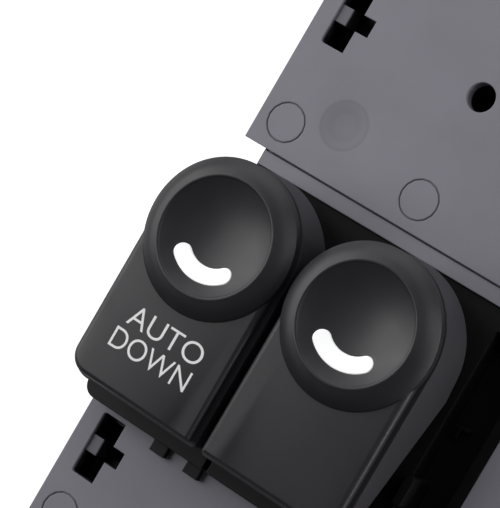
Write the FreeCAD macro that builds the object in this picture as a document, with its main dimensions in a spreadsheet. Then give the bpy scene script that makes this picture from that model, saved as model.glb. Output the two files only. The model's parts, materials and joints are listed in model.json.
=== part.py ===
import FreeCAD, Part
import Sketcher
import math
import os

# Power window switch: two sprung rocker keys in a black switch housing,
# set in a grey mounting plate on a black lower case.
# Frame: X across the two keys, Y towards the knob ends, Z up.
# The origin lies on the flat underside of the lower case, below the line on which both keys rock.

Vector = FreeCAD.Vector
Placement = FreeCAD.Placement
doc = FreeCAD.newDocument("power_window_switch")

# Driving dimensions, in millimetres and degrees
drivingSizes = (
    # mounting plate
    ("plateTopZ", 20.0, "top face of the plate above the case foot"),
    ("plateThick", 2.2, "plate thickness"),
    ("plateEdge", 0.15, "left edge of the plate, in from the left key's side"),
    ("plateFlange", 5.05, "plate right of the housing window"),
    ("rearField", 34.0, "length of the plate's rear field"),
    ("frontField", 31.5, "length of the plate's front field"),
    ("rearStepGap", 2.25, "knob end to the rear field"),
    ("frontStepGap", 3.4, "key front to the front field"),
    ("ledgeInset", 3.75, "ledge end, in from the plate's left edge"),
    ("ledgeWidth", 2.4, "ledge between the rear field and the housing"),
    ("ledgeDrop", 0.3, "ledge below the plate face"),
    ("grooveWidth", 0.6, "groove along the ledge"),
    ("grooveDepth", 1.6, "depth of that groove"),
    ("bossInset", 4.5, "left row of screw bosses, in from the plate's left edge"),
    ("bossPitch", 23.2, "pitch of the two rows of screw bosses"),
    ("bossRearReach", 4.5, "rear bosses, from the edge of the rear field"),
    ("bossFrontReach", 16.7, "front bosses, from the edge of the front field"),
    ("bossRadius", 2.8, "screw boss"),
    ("ringRadius", 3.0, "witness ring above each boss"),
    ("ringWidth", 0.22, "width of the ring line"),
    ("ringDepth", 0.2, "depth of the ring line"),
    ("dimpleInset", 12.45, "shallow sink mark, from the plate's left edge"),
    ("dimpleReach", 8.2, "shallow sink mark, from the edge of the rear field"),
    ("dimpleRadius", 3.6, "shallow sink mark"),
    ("dimpleDepth", 0.25, "shallow sink mark"),
    ("hookInset", 2.75, "hook slots, in from the plate's left edge"),
    ("hookSlotWidth", 3.9, "hook slot across"),
    ("hookSlotLength", 9.6, "hook slot along"),
    ("hookSlotArm", 2.1, "side arm of the hook slot"),
    ("hookSlotArmLength", 2.6, "side arm along"),
    ("hookSlotRound", 0.5, "rounding of the slot's corners at the plate's side"),
    ("hookRearReach", 21.6, "middle of the rear hook slot, from the edge of its field"),
    ("hookFrontReach", 5.9, "middle of the front hook slot, from the edge of its field"),
    ("hookTabLength", 1.95, "reach of the hook tab into its slot"),
    ("hookTabDrop", 0.4, "top of the hook tab below the plate face"),
    ("mountInset", 27.95, "mounting holes, from the plate's left edge"),
    ("mountRearReach", 20.8, "rear mounting hole, from the edge of its field"),
    ("mountFrontReach", 26.7, "front mounting hole, from the edge of its field"),
    ("mountHoleRadius", 2.1, "mounting hole"),
    # lower case
    ("caseInset", 0.3, "case side in from the plate edge"),
    ("caseRearInset", 3.5, "rear wall of the case, in from the plate edge"),
    ("caseFrontInset", 9.5, "front wall of the case, in from the plate edge"),
    ("caseWall", 1.3, "case side walls"),
    ("caseFloor", 1.8, "case floor"),
    ("caseCorner", 2.0, "case corner radius"),
    ("reliefInset", 2.75, "corner relief beside the ledge's end, from the plate's left edge"),
    ("reliefLength", 5.5, "corner relief, forward of the rear field"),
    ("reliefCover", 0.6, "housing deck over the wall of the relief"),
    ("catchTopZ", 15.2, "top of the hook catches"),
    ("catchMargin", 1.4, "catch block outside its slot"),
    ("catchWall", 1.2, "wall of the catch block"),
    ("screwPadRadius", 3.9, "thick pad round a case screw"),
    ("screwPadZ", 4.5, "top of that pad"),
    ("screwSinkZ", 2.7, "depth of the screw head's sink"),
    ("screwSinkRadius", 2.6, "radius of that sink"),
    ("tubeRadius", 3.9, "tube round the rear mounting hole"),
    ("screwHeadRadius", 2.4, "case screw head"),
    ("screwHeadHeight", 1.8, "case screw head"),
    ("screwRadius", 1.25, "case screw shank"),
    ("screwReach", 8.0, "case screw in its boss"),
    ("holeGap", 0.15, "screw shank in a clearance hole"),
    ("boreGap", 0.05, "screw shank in its own bore"),
    # circuit board
    ("boardBottomZ", 8.0, "underside of the circuit board"),
    ("boardThick", 1.6, "circuit board"),
    ("boardReliefGap", 0.2, "board to the wall of the corner relief"),
    ("boardSideGap", 0.75, "board to the right case wall"),
    ("boardBossGap", 0.5, "board ends to the screw bosses"),
    ("notchGap", 0.6, "corner notch of the board round the front catch block"),
    ("postRadius", 2.5, "board post"),
    ("postLeftInset", 3.2, "rear left board post, in from the board's side"),
    ("postRightInset", 3.5, "rear right board post, in from the board's side"),
    ("postNotchGap", 0.4, "front left board post beside the notch"),
    ("postPlugGap", 4.5, "front right board post beside the connector"),
    ("postRearInset", 2.8, "rear board posts, in from the board's end"),
    ("postFrontInset", 3.9, "front board posts, in from the board's end"),
    ("boardScrewRadius", 0.9, "board screw shank"),
    ("boardScrewReach", 4.5, "board screw in its post"),
    ("boardHeadRadius", 1.9, "board screw head"),
    ("boardHeadHeight", 1.3, "board screw head"),
    # switch housing
    ("deckZ", 19.0, "top of the housing deck"),
    ("deckThick", 1.8, "housing deck"),
    ("housingGap", 0.1, "housing to plate window"),
    ("flangeBottomZ", 15.8, "underside of the housing flange"),
    ("flangeReach", 2.0, "flange under the plate"),
    ("housingWall", 1.4, "housing walls"),
    ("shelfTopZ", 23.5, "shelf in front of each key"),
    ("shelfReach", 2.7, "shelf under the front of each key"),
    ("shelfSplitX", -0.8, "middle of the slit between the shelves"),
    ("shelfSplit", 0.9, "slit between the shelves"),
    ("shelfCorner", 2.0, "outer corner of a shelf"),
    ("tabFirstX", -9.4, "middle of the first retaining tab"),
    ("tabPitch", 6.0, "second retaining tab"),
    ("tabWidth", 2.5, "retaining tab"),
    ("tabLength", 2.0, "retaining tab"),
    ("tabThick", 1.0, "retaining tab"),
    ("wellGap", 0.65, "right key to the well beside it"),
    ("wellWidth", 7.1, "well beside the right key"),
    ("wellFloorZ", 14.0, "floor of that well"),
    ("wellMargin", 1.5, "wall of that well"),
    ("windowMargin", 1.3, "well to the right side of the housing window"),
    ("lugY", -13.0, "stop lug beside the right key"),
    ("lugLength", 4.6, "stop lug"),
    ("lugWidth", 1.3, "stop lug"),
    ("lugTopZ", 21.5, "stop lug"),
    ("lugRound", 0.55, "rounding of the stop lug"),
    ("ribInset", 1.0, "angled rib on the well floor, from the well's left side"),
    ("ribRearY", -1.9, "angled rib on the well floor"),
    ("ribLength", 2.0, "long arm of the rib"),
    ("ribArm", 1.6, "short arm of the rib"),
    ("ribThick", 0.5, "angled rib"),
    ("ribHeight", 1.3, "angled rib"),
    ("towerGap", 0.55, "bearing tower to the lever's ears"),
    ("towerHalfY", 6.0, "bearing tower, half length"),
    ("towerTopZ", 27.6, "top of the bearing towers"),
    ("towerWall", 1.4, "wall of the bearing towers"),
    ("trunnionRadius", 1.6, "trunnion"),
    ("trunnionEndGap", 0.2, "trunnion to the end of its bore"),
    ("runningGap", 0.05, "trunnion to its bore, and the slider to its rails"),
    ("saddleHalfX", 1.8, "detent saddle, half width"),
    ("saddleHalfY", 4.3, "detent saddle, half length"),
    ("saddleTopZ", 21.0, "top of the detent saddle"),
    ("troughDepth", 1.3, "trough of the detent saddle"),
    ("saddleGap", 0.3, "plunger tip to saddle"),
    # keys
    ("keyGap", 1.3, "gap between the two levers"),
    ("pivotZ", 25.0, "height of the rocking axis"),
    ("keyHalfWidth", 10.85, "key blade, half width"),
    ("keyFrontY", -22.1, "front edge of the key blade"),
    ("keyTopZ", 33.0, "top face of the key blade"),
    ("bladeThick", 1.5, "key blade"),
    ("jointGap", 0.7, "shadow joint between cap and lever"),
    ("jointInset", 1.2, "depth of that joint"),
    ("cornerOuter", 3.0, "outer front corner of a key"),
    ("cornerInner", 0.6, "inner front corner of a key"),
    ("knobY", 3.45, "centre of the knob"),
    ("knobFootRise", 0.2, "upright foot of the knob above the blade"),
    ("flankWidth", 2.3, "rounded flank of the knob, from its foot to the crest"),
    ("flankSteps", 3, "straight steps of the flank's curve"),
    ("rimRise", 1.9, "crest of the rim above the blade"),
    ("rimWidth", 0.5, "narrow slope from the crest to the dish"),
    ("rimDrop", 0.3, "height of that slope"),
    ("dishDepth", 2.2, "finger dish below the rim crest"),
    ("barRadius", 5.3, "middle line of the light bar"),
    ("barHalfAngle", 42.0, "half the arc of the light bar, in degrees"),
    ("barWidth", 2.4, "light bar"),
    ("barProud", 0.08, "light bar above the dish"),
    ("barFit", 0.03, "light bar to its opening"),
    ("capPegRadius", 1.2, "cap peg"),
    ("capPegLength", 1.4, "cap peg"),
    ("capPegFrontY", -15.0, "front cap peg"),
    ("capPegRearY", 9.8, "rear cap peg"),
    # rocker levers
    ("leverOverhang", 0.45, "lever outside the cap blade"),
    ("leverWall", 1.3, "lever skirt"),
    ("leverRoof", 1.6, "lever top plate"),
    ("skirtLowZ", 20.4, "lowest point of the skirt, below the axis"),
    ("skirtFrontZ", 27.0, "skirt edge at the front"),
    ("skirtRearZ", 23.8, "skirt edge at the rear"),
    ("earRadius", 3.4, "bearing ear"),
    ("earInset", 1.25, "bearing ear inside the skirt"),
    ("boreEnd", 0.8, "wall left at the end of a bearing bore"),
    ("paddleSideGap", 1.8, "drive paddle to the tower wall"),
    ("paddleTubeGap", 1.6, "plunger tube to the drive paddle"),
    ("paddleThick", 1.6, "drive paddle"),
    ("paddleTipZ", 12.2, "middle of the paddle tip"),
    ("paddleTipRadius", 1.2, "paddle tip"),
    ("plungerRadius", 1.5, "detent plunger"),
    ("plungerLength", 5.6, "detent plunger"),
    ("plungerFit", 0.1, "plunger in its tube"),
    ("tubeWall", 1.0, "plunger tube"),
    ("tubeSideGap", 0.6, "plunger tube to the tower wall"),
    ("plungerTubeZ", 22.6, "lower end of the plunger tube"),
    ("springWire", 0.5, "detent spring"),
    ("springTurns", 4, "detent spring"),
    ("rockAngle", 7.0, "rocking angle each way, in degrees"),
    ("lightFrontY", -8.0, "light window in the lever's top plate"),
    ("lightRearY", -2.0, "light window in the lever's top plate"),
    # contacts and parts on the board
    ("sliderHalfX", 4.6, "contact slider, half width"),
    ("sliderHalfY", 4.8, "contact slider, half length"),
    ("sliderTopZ", 13.6, "contact slider"),
    ("sliderForkDepth", 2.8, "fork in the slider"),
    ("forkGap", 0.1, "paddle tip in the fork, each side"),
    ("railThick", 1.2, "slider rail"),
    ("railHalfY", 7.4, "slider rail, half length"),
    ("railGapZ", 0.4, "slider rail above the board"),
    ("contactThick", 0.3, "moving contact"),
    ("padThick", 0.1, "fixed contact pads"),
    ("contactGap", 0.05, "moving contact above the pads"),
    ("padLength", 2.6, "fixed contact pad"),
    ("padPitch", 3.6, "fixed contact pads"),
    ("lampX", 4.6, "lamp, from the key's middle"),
    ("lampReach", 3.4, "lamp in front of the bearing tower"),
    ("lampHoleRadius", 2.3, "light hole in the deck"),
    ("lampHalf", 1.7, "lamp block"),
    ("lampHeight", 1.4, "lamp block"),
    ("lensRadius", 1.2, "lens of the lamp"),
    ("lensHeight", 0.6, "lens of the lamp"),
    ("resistorInset", 6.9, "first resistor, from the board's notch"),
    ("resistorReach", 8.9, "resistors, from the board's front end"),
    ("resistorPitch", 4.4, "pitch of the resistors"),
    ("resistorCount", 6, "resistors"),
    ("resistorWidth", 1.6, "resistor"),
    ("resistorLength", 3.2, "resistor"),
    ("resistorHeight", 0.6, "resistor"),
    ("chipInset", 8.5, "middle of the control chip, in from the board's right side"),
    ("chipY", 6.0, "middle of the control chip"),
    ("chipWidth", 3.9, "control chip"),
    ("chipLength", 8.7, "control chip"),
    ("chipHeight", 1.5, "control chip"),
    ("legCount", 7, "chip legs on each side"),
    ("legPitch", 1.27, "chip legs"),
    ("legWidth", 0.4, "chip leg"),
    ("legThick", 0.3, "chip leg"),
    ("legReach", 1.0, "chip leg"),
    # connector
    ("plugInset", 12.0, "middle of the connector, in from the board's right side"),
    ("plugWidth", 20.0, "connector"),
    ("plugHeight", 7.4, "connector"),
    ("plugOverlap", 3.4, "connector on the board"),
    ("plugReach", 4.5, "connector in front of the case"),
    ("plugWall", 1.2, "connector shroud"),
    ("plugDepth", 9.5, "depth of the socket"),
    ("keywayDepth", 5.7, "keyway in the top of the shroud"),
    ("plugGap", 0.15, "connector to case opening, and such plain gaps"),
    ("pinCount", 7, "pins in a row"),
    ("pinPitch", 2.3, "pin pitch"),
    ("pinRowInset", 1.8, "front row of pin legs, from the board's end"),
    ("pinSize", 0.64, "square pin"),
)

# Sizes that follow from those above: mating pieces move together
followingSizes = (
    ("knobRadius", "keyHalfWidth + leverOverhang", "foot of the knob"),
    ("rimRadius", "knobRadius - flankWidth", "crest of the knob rim"),
    ("keyPitch", "2 * knobRadius + keyGap", "pitch of the two keys"),
    ("keySideX", "keyPitch / 2 + keyHalfWidth", "outer side of a key"),
    ("plateLeftX", "plateEdge - keySideX", "left edge of the mounting plate"),
    ("wellLeftX", "keySideX + leverOverhang + wellGap", "well beside the right key"),
    ("wellRightX", "wellLeftX + wellWidth", "well beside the right key"),
    ("windowRightX", "wellRightX + windowMargin", "right side of the housing window"),
    ("plateRightX", "windowRightX + plateFlange", "right edge of the mounting plate"),
    ("stepRearY", "knobY + knobRadius + rearStepGap", "straight lower edge of the rear field"),
    ("stepFrontY", "keyFrontY - frontStepGap", "upper edge of the front field"),
    ("plateRearY", "stepRearY + rearField", "rear edge of the plate"),
    ("plateFrontY", "stepFrontY - frontField", "front edge of the plate"),
    ("bossLeftX", "plateLeftX + bossInset", "left row of screw bosses"),
    ("bossRightX", "bossLeftX + bossPitch", "right row of screw bosses"),
    ("bossRearY", "stepRearY + bossRearReach", "rear row of screw bosses"),
    ("bossFrontY", "stepFrontY - bossFrontReach", "front row of screw bosses"),
    ("dimpleX", "plateLeftX + dimpleInset", "sink mark"),
    ("dimpleY", "stepRearY + dimpleReach", "sink mark"),
    ("hookSlotX", "plateLeftX + hookInset", "left side of the hook slots"),
    ("hookRearY", "stepRearY + hookRearReach", "middle of the rear hook slot"),
    ("hookFrontY", "stepFrontY - hookFrontReach", "middle of the front hook slot"),
    ("mountX", "plateLeftX + mountInset", "both mounting holes"),
    ("mountRearY", "stepRearY + mountRearReach", "rear mounting hole"),
    ("mountFrontY", "stepFrontY - mountFrontReach", "front mounting hole"),
    ("caseRearY", "plateRearY - caseRearInset", "rear wall of the case"),
    ("caseFrontY", "plateFrontY + caseFrontInset", "front wall of the case"),
    ("caseLeftX", "plateLeftX + caseInset", "left wall of the case"),
    ("caseRightX", "plateRightX - caseInset", "right wall of the case"),
    ("reliefX", "plateLeftX + reliefInset", "side of the corner relief"),
    ("reliefFrontY", "stepRearY - reliefLength", "front of the corner relief"),
    ("boardLeftX", "reliefX + caseWall + boardReliefGap", "left side of the board"),
    ("boardRightX", "caseRightX - caseWall - boardSideGap", "right side of the board"),
    ("boardRearY", "bossRearY - bossRadius - boardBossGap", "rear end of the board"),
    ("boardFrontY", "bossFrontY + bossRadius + boardBossGap", "front end of the board"),
    ("catchRightX", "hookSlotX + hookSlotWidth + hookSlotArm + catchMargin", "right side of the catch blocks"),
    ("catchHalfY", "hookSlotLength / 2 + catchMargin", "half length of the catch blocks"),
    ("notchX", "catchRightX + notchGap", "corner notch of the board"),
    ("notchY", "hookFrontY + catchHalfY + notchGap", "corner notch of the board"),
    ("plugX", "boardRightX - plugInset", "middle of the connector"),
    ("plugRearY", "boardFrontY + plugOverlap", "rear face of the connector"),
    ("plugMouthY", "caseFrontY - plugReach", "mouth of the connector"),
    ("pinRowFrontY", "boardFrontY + pinRowInset", "front row of pin legs"),
    ("postLeftX", "boardLeftX + postLeftInset", "rear left board post"),
    ("postRightX", "boardRightX - postRightInset", "rear right board post"),
    ("postNotchX", "notchX + postRadius + postNotchGap", "front left board post"),
    ("postMiddleX", "plugX - plugWidth / 2 - postPlugGap", "front right board post"),
    ("postRearY", "boardRearY - postRearInset", "rear board posts"),
    ("postFrontY", "boardFrontY + postFrontInset", "front board posts"),
    ("shelfRearY", "keyFrontY + shelfReach", "rear face of the shelves"),
    ("ribX", "wellLeftX + ribInset", "left side of the angled rib"),
    ("towerHalfX", "knobRadius - leverWall - earInset - towerGap", "bearing tower, half width"),
    ("towerRoomX", "towerHalfX - towerWall", "room in the tower, half width"),
    ("trunnionLength", "towerGap + earInset + leverWall - boreEnd - trunnionEndGap", "trunnion"),
    ("tubeRadiusOut", "plungerRadius + plungerFit + tubeWall", "outside of the plunger tube"),
    ("plungerX", "towerRoomX - tubeSideGap - tubeRadiusOut", "detent plunger, from the key's middle"),
    ("paddleLeftX", "paddleSideGap - towerRoomX", "left side of the drive paddle"),
    ("paddleRightX", "plungerX - tubeRadiusOut - paddleTubeGap", "right side of the drive paddle"),
    ("paddleWidth", "paddleRightX - paddleLeftX", "drive paddle"),
    ("paddleX", "(paddleLeftX + paddleRightX) / 2", "middle of the drive paddle"),
    ("lampY", "-(towerHalfY + lampReach)", "lamp"),
    ("resistorX", "notchX + resistorInset", "left side of the first resistor"),
    ("resistorY", "boardFrontY + resistorReach", "front side of the resistors"),
    ("chipX", "boardRightX - chipInset", "middle of the control chip"),
)

sheet = doc.addObject("Spreadsheet::Sheet", "Sizes")
rows = [(alias, str(value), meaning) for alias, value, meaning in drivingSizes]
rows += [(alias, "=" + formula, meaning) for alias, formula, meaning in followingSizes]
for row, (alias, entry, meaning) in enumerate(rows, start=1):
    sheet.set(f"A{row}", meaning)
    sheet.set(f"B{row}", entry)
    sheet.setAlias(f"B{row}", alias)
doc.recompute()


class Size:
    """A number together with the sheet expression that it comes from."""

    def __init__(self, value, text):
        self.value = value
        self.text = text

    def join(self, sign, other, result, swapped=False):
        first, second = (other, self) if swapped else (self, other)
        return Size(result(first.value, second.value), f"({first.text} {sign} {second.text})")

    def __add__(self, other):
        return self.join("+", sized(other), lambda a, b: a + b)

    def __radd__(self, other):
        return self.join("+", sized(other), lambda a, b: a + b, True)

    def __sub__(self, other):
        return self.join("-", sized(other), lambda a, b: a - b)

    def __rsub__(self, other):
        return self.join("-", sized(other), lambda a, b: a - b, True)

    def __mul__(self, other):
        return self.join("*", sized(other), lambda a, b: a * b)

    def __rmul__(self, other):
        return self.join("*", sized(other), lambda a, b: a * b, True)

    def __truediv__(self, other):
        return self.join("/", sized(other), lambda a, b: a / b)

    def __neg__(self):
        return sized(0) - self

    def root(self):
        return Size(math.sqrt(self.value), f"sqrt({self.text})")

    def sine(self):
        return Size(math.sin(math.radians(self.value)), f"sin({self.text})")

    def cosine(self):
        return Size(math.cos(math.radians(self.value)), f"cos({self.text})")


def sized(number):
    return number if isinstance(number, Size) else Size(number, f"({number})")


class Sizes:
    """Each sheet alias as an attribute."""


size = Sizes()
for alias, entry, meaning in rows:
    setattr(size, alias, Size(float(sheet.get(alias)), f"Sizes.{alias}"))

# Sizes that several pieces share
plateUnderZ = size.plateTopZ - size.plateThick
ledgeFrontY = size.stepRearY - size.ledgeWidth
boardTopZ = size.boardBottomZ + size.boardThick
deckUnderZ = size.deckZ - size.deckThick
capBottomZ = size.keyTopZ - size.bladeThick
leverTopZ = capBottomZ - size.jointGap
leverHalfWidth = size.knobRadius
leverFrontY = size.keyFrontY - size.leverOverhang
roofUnderZ = leverTopZ - size.leverRoof
boreRadius = size.trunnionRadius + size.runningGap
troughRadius = size.pivotZ - size.saddleTopZ + size.troughDepth
plungerTipRadius = troughRadius - size.saddleGap
plungerTipZ = size.pivotZ - plungerTipRadius
plungerTopZ = plungerTipZ + size.plungerLength
sliderBottomZ = boardTopZ + size.padThick + size.contactGap + size.contactThick
screwHoles = [
    (x, y)
    for x in (size.bossLeftX, size.bossRightX)
    for y in (size.bossRearY, size.bossFrontY)
]
boardPosts = (
    (size.postLeftX, size.postRearY),
    (size.postRightX, size.postRearY),
    (size.postNotchX, size.postFrontY),
    (size.postMiddleX, size.postFrontY),
)
keySides = (("left", -1), ("right", 1))


def keyX(side):
    return size.keyPitch * (side / 2)


# Sketch helpers: every point of a sketch is tied to the sheet

def newBody(label):
    body = doc.addObject("PartDesign::Body", label)
    body.Label = label
    return body


def newSketch(body, name, role, level):
    sketch = body.newObject("Sketcher::SketchObject", name)
    plane = [item for item in body.Origin.OriginFeatures if item.Role == role][0]
    sketch.AttachmentSupport = (plane, "")
    sketch.MapMode = "FlatFace"
    level = sized(level)
    sketch.AttachmentOffset = Placement(Vector(0, 0, level.value), FreeCAD.Rotation())
    sketch.setExpression("AttachmentOffset.Base.z", level.text)
    return sketch


def flatSketch(body, name, level):
    return newSketch(body, name, "XY_Plane", level)


def sideSketch(body, name, level):
    """Sketch across X: its axes are Y and Z."""
    return newSketch(body, name, "YZ_Plane", level)


def tie(sketch, kind, wanted, *where):
    wanted = sized(wanted)
    index = sketch.addConstraint(Sketcher.Constraint(kind, *where, wanted.value))
    sketch.setExpression(f"Constraints[{index}]", wanted.text)


def tiePoint(sketch, edge, end, x, y):
    tie(sketch, "DistanceX", x, -1, 1, edge, end)
    tie(sketch, "DistanceY", y, -1, 1, edge, end)


def drawPolygon(sketch, points):
    corners = [(sized(x), sized(y)) for x, y in points]
    edges = []
    for (x1, y1), (x2, y2) in zip(corners, corners[1:] + corners[:1]):
        line = Part.LineSegment(Vector(x1.value, y1.value, 0), Vector(x2.value, y2.value, 0))
        edges.append(sketch.addGeometry(line))
    for previous, edge in zip(edges[-1:] + edges[:-1], edges):
        sketch.addConstraint(Sketcher.Constraint("Coincident", previous, 2, edge, 1))
    for edge, (x, y) in zip(edges, corners):
        tiePoint(sketch, edge, 1, x, y)


def drawBox(sketch, x1, y1, x2, y2):
    drawPolygon(sketch, ((x1, y1), (x2, y1), (x2, y2), (x1, y2)))


def drawCircle(sketch, x, y, radius):
    x, y, radius = sized(x), sized(y), sized(radius)
    edge = sketch.addGeometry(Part.Circle(Vector(x.value, y.value, 0), Vector(0, 0, 1), radius.value))
    tie(sketch, "Radius", radius, edge)
    tiePoint(sketch, edge, 3, x, y)


def drawManySided(sketch, x, y, radius, sides):
    """Regular outline whose corners lie on the radius, the first one towards X."""
    x, y, radius = sized(x), sized(y), sized(radius)
    turns = [2 * math.pi * number / sides for number in range(sides)]
    drawPolygon(sketch, [(x + radius * math.cos(turn), y + radius * math.sin(turn)) for turn in turns])


def drawOutline(sketch, stations):
    """Closed outline of lines and arcs. A station is (x, y), or (x, y, centreX, centreY) where
    an anticlockwise arc leads on to the next one, with a fifth value of True for a clockwise arc."""
    edges = []
    for station, following in zip(stations, stations[1:] + stations[:1]):
        start = Vector(sized(station[0]).value, sized(station[1]).value, 0)
        end = Vector(sized(following[0]).value, sized(following[1]).value, 0)
        if len(station) == 2:
            edges.append((sketch.addGeometry(Part.LineSegment(start, end)), 1, 2))
            continue
        centre = Vector(sized(station[2]).value, sized(station[3]).value, 0)
        clockwise = len(station) == 5
        first, last = (end, start) if clockwise else (start, end)
        firstAngle = math.atan2(first.y - centre.y, first.x - centre.x)
        lastAngle = math.atan2(last.y - centre.y, last.x - centre.x)
        if lastAngle <= firstAngle:
            lastAngle += 2 * math.pi
        circle = Part.Circle(centre, Vector(0, 0, 1), (start - centre).Length)
        arc = sketch.addGeometry(Part.ArcOfCircle(circle, firstAngle, lastAngle))
        edges.append((arc, 2, 1) if clockwise else (arc, 1, 2))
    for previous, current in zip(edges[-1:] + edges[:-1], edges):
        sketch.addConstraint(Sketcher.Constraint("Coincident", previous[0], previous[2], current[0], current[1]))
    for (edge, start, end), station, following in zip(edges, stations, stations[1:] + stations[:1]):
        tiePoint(sketch, edge, start, station[0], station[1])
        if len(station) > 2:
            # the end points leave an arc's centre free along one line only
            across = abs(sized(following[0]).value - sized(station[0]).value)
            along = abs(sized(following[1]).value - sized(station[1]).value)
            kind, wanted = ("DistanceX", station[2]) if along > across else ("DistanceY", station[3])
            tie(sketch, kind, wanted, -1, 1, edge, 3)


def drawRoundedBox(sketch, x1, y1, x2, y2, radius):
    x1, y1, x2, y2, radius = (sized(number) for number in (x1, y1, x2, y2, radius))
    drawOutline(
        sketch,
        (
            (x1 + radius, y1),
            (x2 - radius, y1, x2 - radius, y1 + radius),
            (x2, y1 + radius),
            (x2, y2 - radius, x2 - radius, y2 - radius),
            (x2 - radius, y2),
            (x1 + radius, y2, x1 + radius, y2 - radius),
            (x1, y2 - radius),
            (x1, y1 + radius, x1 + radius, y1 + radius),
        ),
    )


def drawKeyOutline(sketch, side, inset):
    """Key seen from above: straight sides, a half-round knob end, two front corners.
    A positive inset draws it smaller, a negative one larger."""
    middle = keyX(side)
    half = size.keyHalfWidth - inset
    front = size.keyFrontY + inset
    outer = size.cornerOuter - inset
    left, right = (outer, size.cornerInner) if side < 0 else (size.cornerInner, outer)
    drawOutline(
        sketch,
        (
            (middle - half + left, front),
            (middle + half - right, front, middle + half - right, front + right),
            (middle + half, front + right),
            (middle + half, size.knobY, middle, size.knobY),
            (middle - half, size.knobY),
            (middle - half, front + left, middle - half + left, front + left),
        ),
    )


def volumeOf(body):
    return body.Shape.Volume if not body.Shape.isNull() else 0


def addFeature(body, kind, name, sketch, length, reverse, grows):
    before = volumeOf(body)
    feature = body.newObject(kind, name)
    feature.Profile = sketch
    length = sized(length)
    feature.Length = length.value
    feature.setExpression("Length", length.text)
    feature.Reversed = reverse
    doc.recompute()
    change = volumeOf(body) - before
    if (change > 0) != grows or abs(change) < 1e-6:
        raise RuntimeError(f"{name} changes the volume of {body.Label} by {change:.3f}")
    return feature


def pad(body, name, sketch, length, reverse=False):
    return addFeature(body, "PartDesign::Pad", name, sketch, length, reverse, True)


def pocket(body, name, sketch, length, reverse=False):
    """Cuts against the sketch's normal: down from a flat sketch."""
    return addFeature(body, "PartDesign::Pocket", name, sketch, length, reverse, False)


def padBox(body, name, x1, y1, x2, y2, bottom, top):
    sketch = flatSketch(body, name + "Sketch", bottom)
    drawBox(sketch, x1, y1, x2, y2)
    return pad(body, name, sketch, sized(top) - bottom)


def cutBox(body, name, x1, y1, x2, y2, bottom, top):
    sketch = flatSketch(body, name + "Sketch", top)
    drawBox(sketch, x1, y1, x2, y2)
    return pocket(body, name, sketch, sized(top) - bottom)


# Small rounds that repeat inside the switch have eight flat sides, those seen from below have sixteen
postSides = 8
sinkSides = 16


def padPost(body, name, x, y, radius, bottom, top, sides=postSides):
    sketch = flatSketch(body, name + "Sketch", bottom)
    drawManySided(sketch, x, y, radius, sides)
    return pad(body, name, sketch, sized(top) - bottom)


def cutPost(body, name, x, y, radius, bottom, top, sides=postSides):
    sketch = flatSketch(body, name + "Sketch", top)
    drawManySided(sketch, x, y, radius, sides)
    return pocket(body, name, sketch, sized(top) - bottom)


def cutRound(body, name, x, y, radius, bottom, top):
    sketch = flatSketch(body, name + "Sketch", top)
    drawCircle(sketch, x, y, radius)
    return pocket(body, name, sketch, sized(top) - bottom)


def knobSketch(body, name, side):
    """Sketch in the plane of the knob's axis: its axes are the radius and Z."""
    sketch = newSketch(body, name, "XZ_Plane", -size.knobY)
    sketch.setExpression("AttachmentOffset.Base.x", keyX(side).text)
    return sketch


def turn(body, kind, name, sketch, grows):
    before = volumeOf(body)
    feature = body.newObject(kind, name)
    feature.Profile = sketch
    feature.ReferenceAxis = (sketch, ["V_Axis"])
    feature.Angle = 360
    doc.recompute()
    if (volumeOf(body) > before) != grows:
        raise RuntimeError(f"{name} doesn't change {body.Label} as it should")
    return feature


# Part primitives tied to the sheet

def tieProperty(feature, name, wanted):
    feature.setExpression(name, sized(wanted).text)


def solidBox(label, x1, y1, z1, x2, y2, z2):
    box = doc.addObject("Part::Box", label)
    for name, low, high in (("Length", x1, x2), ("Width", y1, y2), ("Height", z1, z2)):
        tieProperty(box, name, sized(high) - low)
    for axis, low in (("x", x1), ("y", y1), ("z", z1)):
        tieProperty(box, f"Placement.Base.{axis}", low)
    return box


def solidPrism(label, x, y, z1, z2, radius, sides):
    prism = doc.addObject("Part::Prism", label)
    prism.Polygon = sides
    tieProperty(prism, "Circumradius", radius)
    tieProperty(prism, "Height", sized(z2) - z1)
    for axis, low in (("x", x), ("y", y), ("z", z1)):
        tieProperty(prism, f"Placement.Base.{axis}", low)
    return prism


def fuse(label, shapes):
    joined = doc.addObject("Part::MultiFuse", label)
    joined.Shapes = shapes
    return joined


def gather(label, shapes):
    group = doc.addObject("Part::Compound", label)
    group.Links = shapes
    group.Label = label
    return group


# Mounting plate: C-shaped plate round the housing, with bosses, hook slots and tabs

def hookSlotMiddles():
    return (("Rear", size.hookRearY), ("Front", size.hookFrontY))


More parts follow.
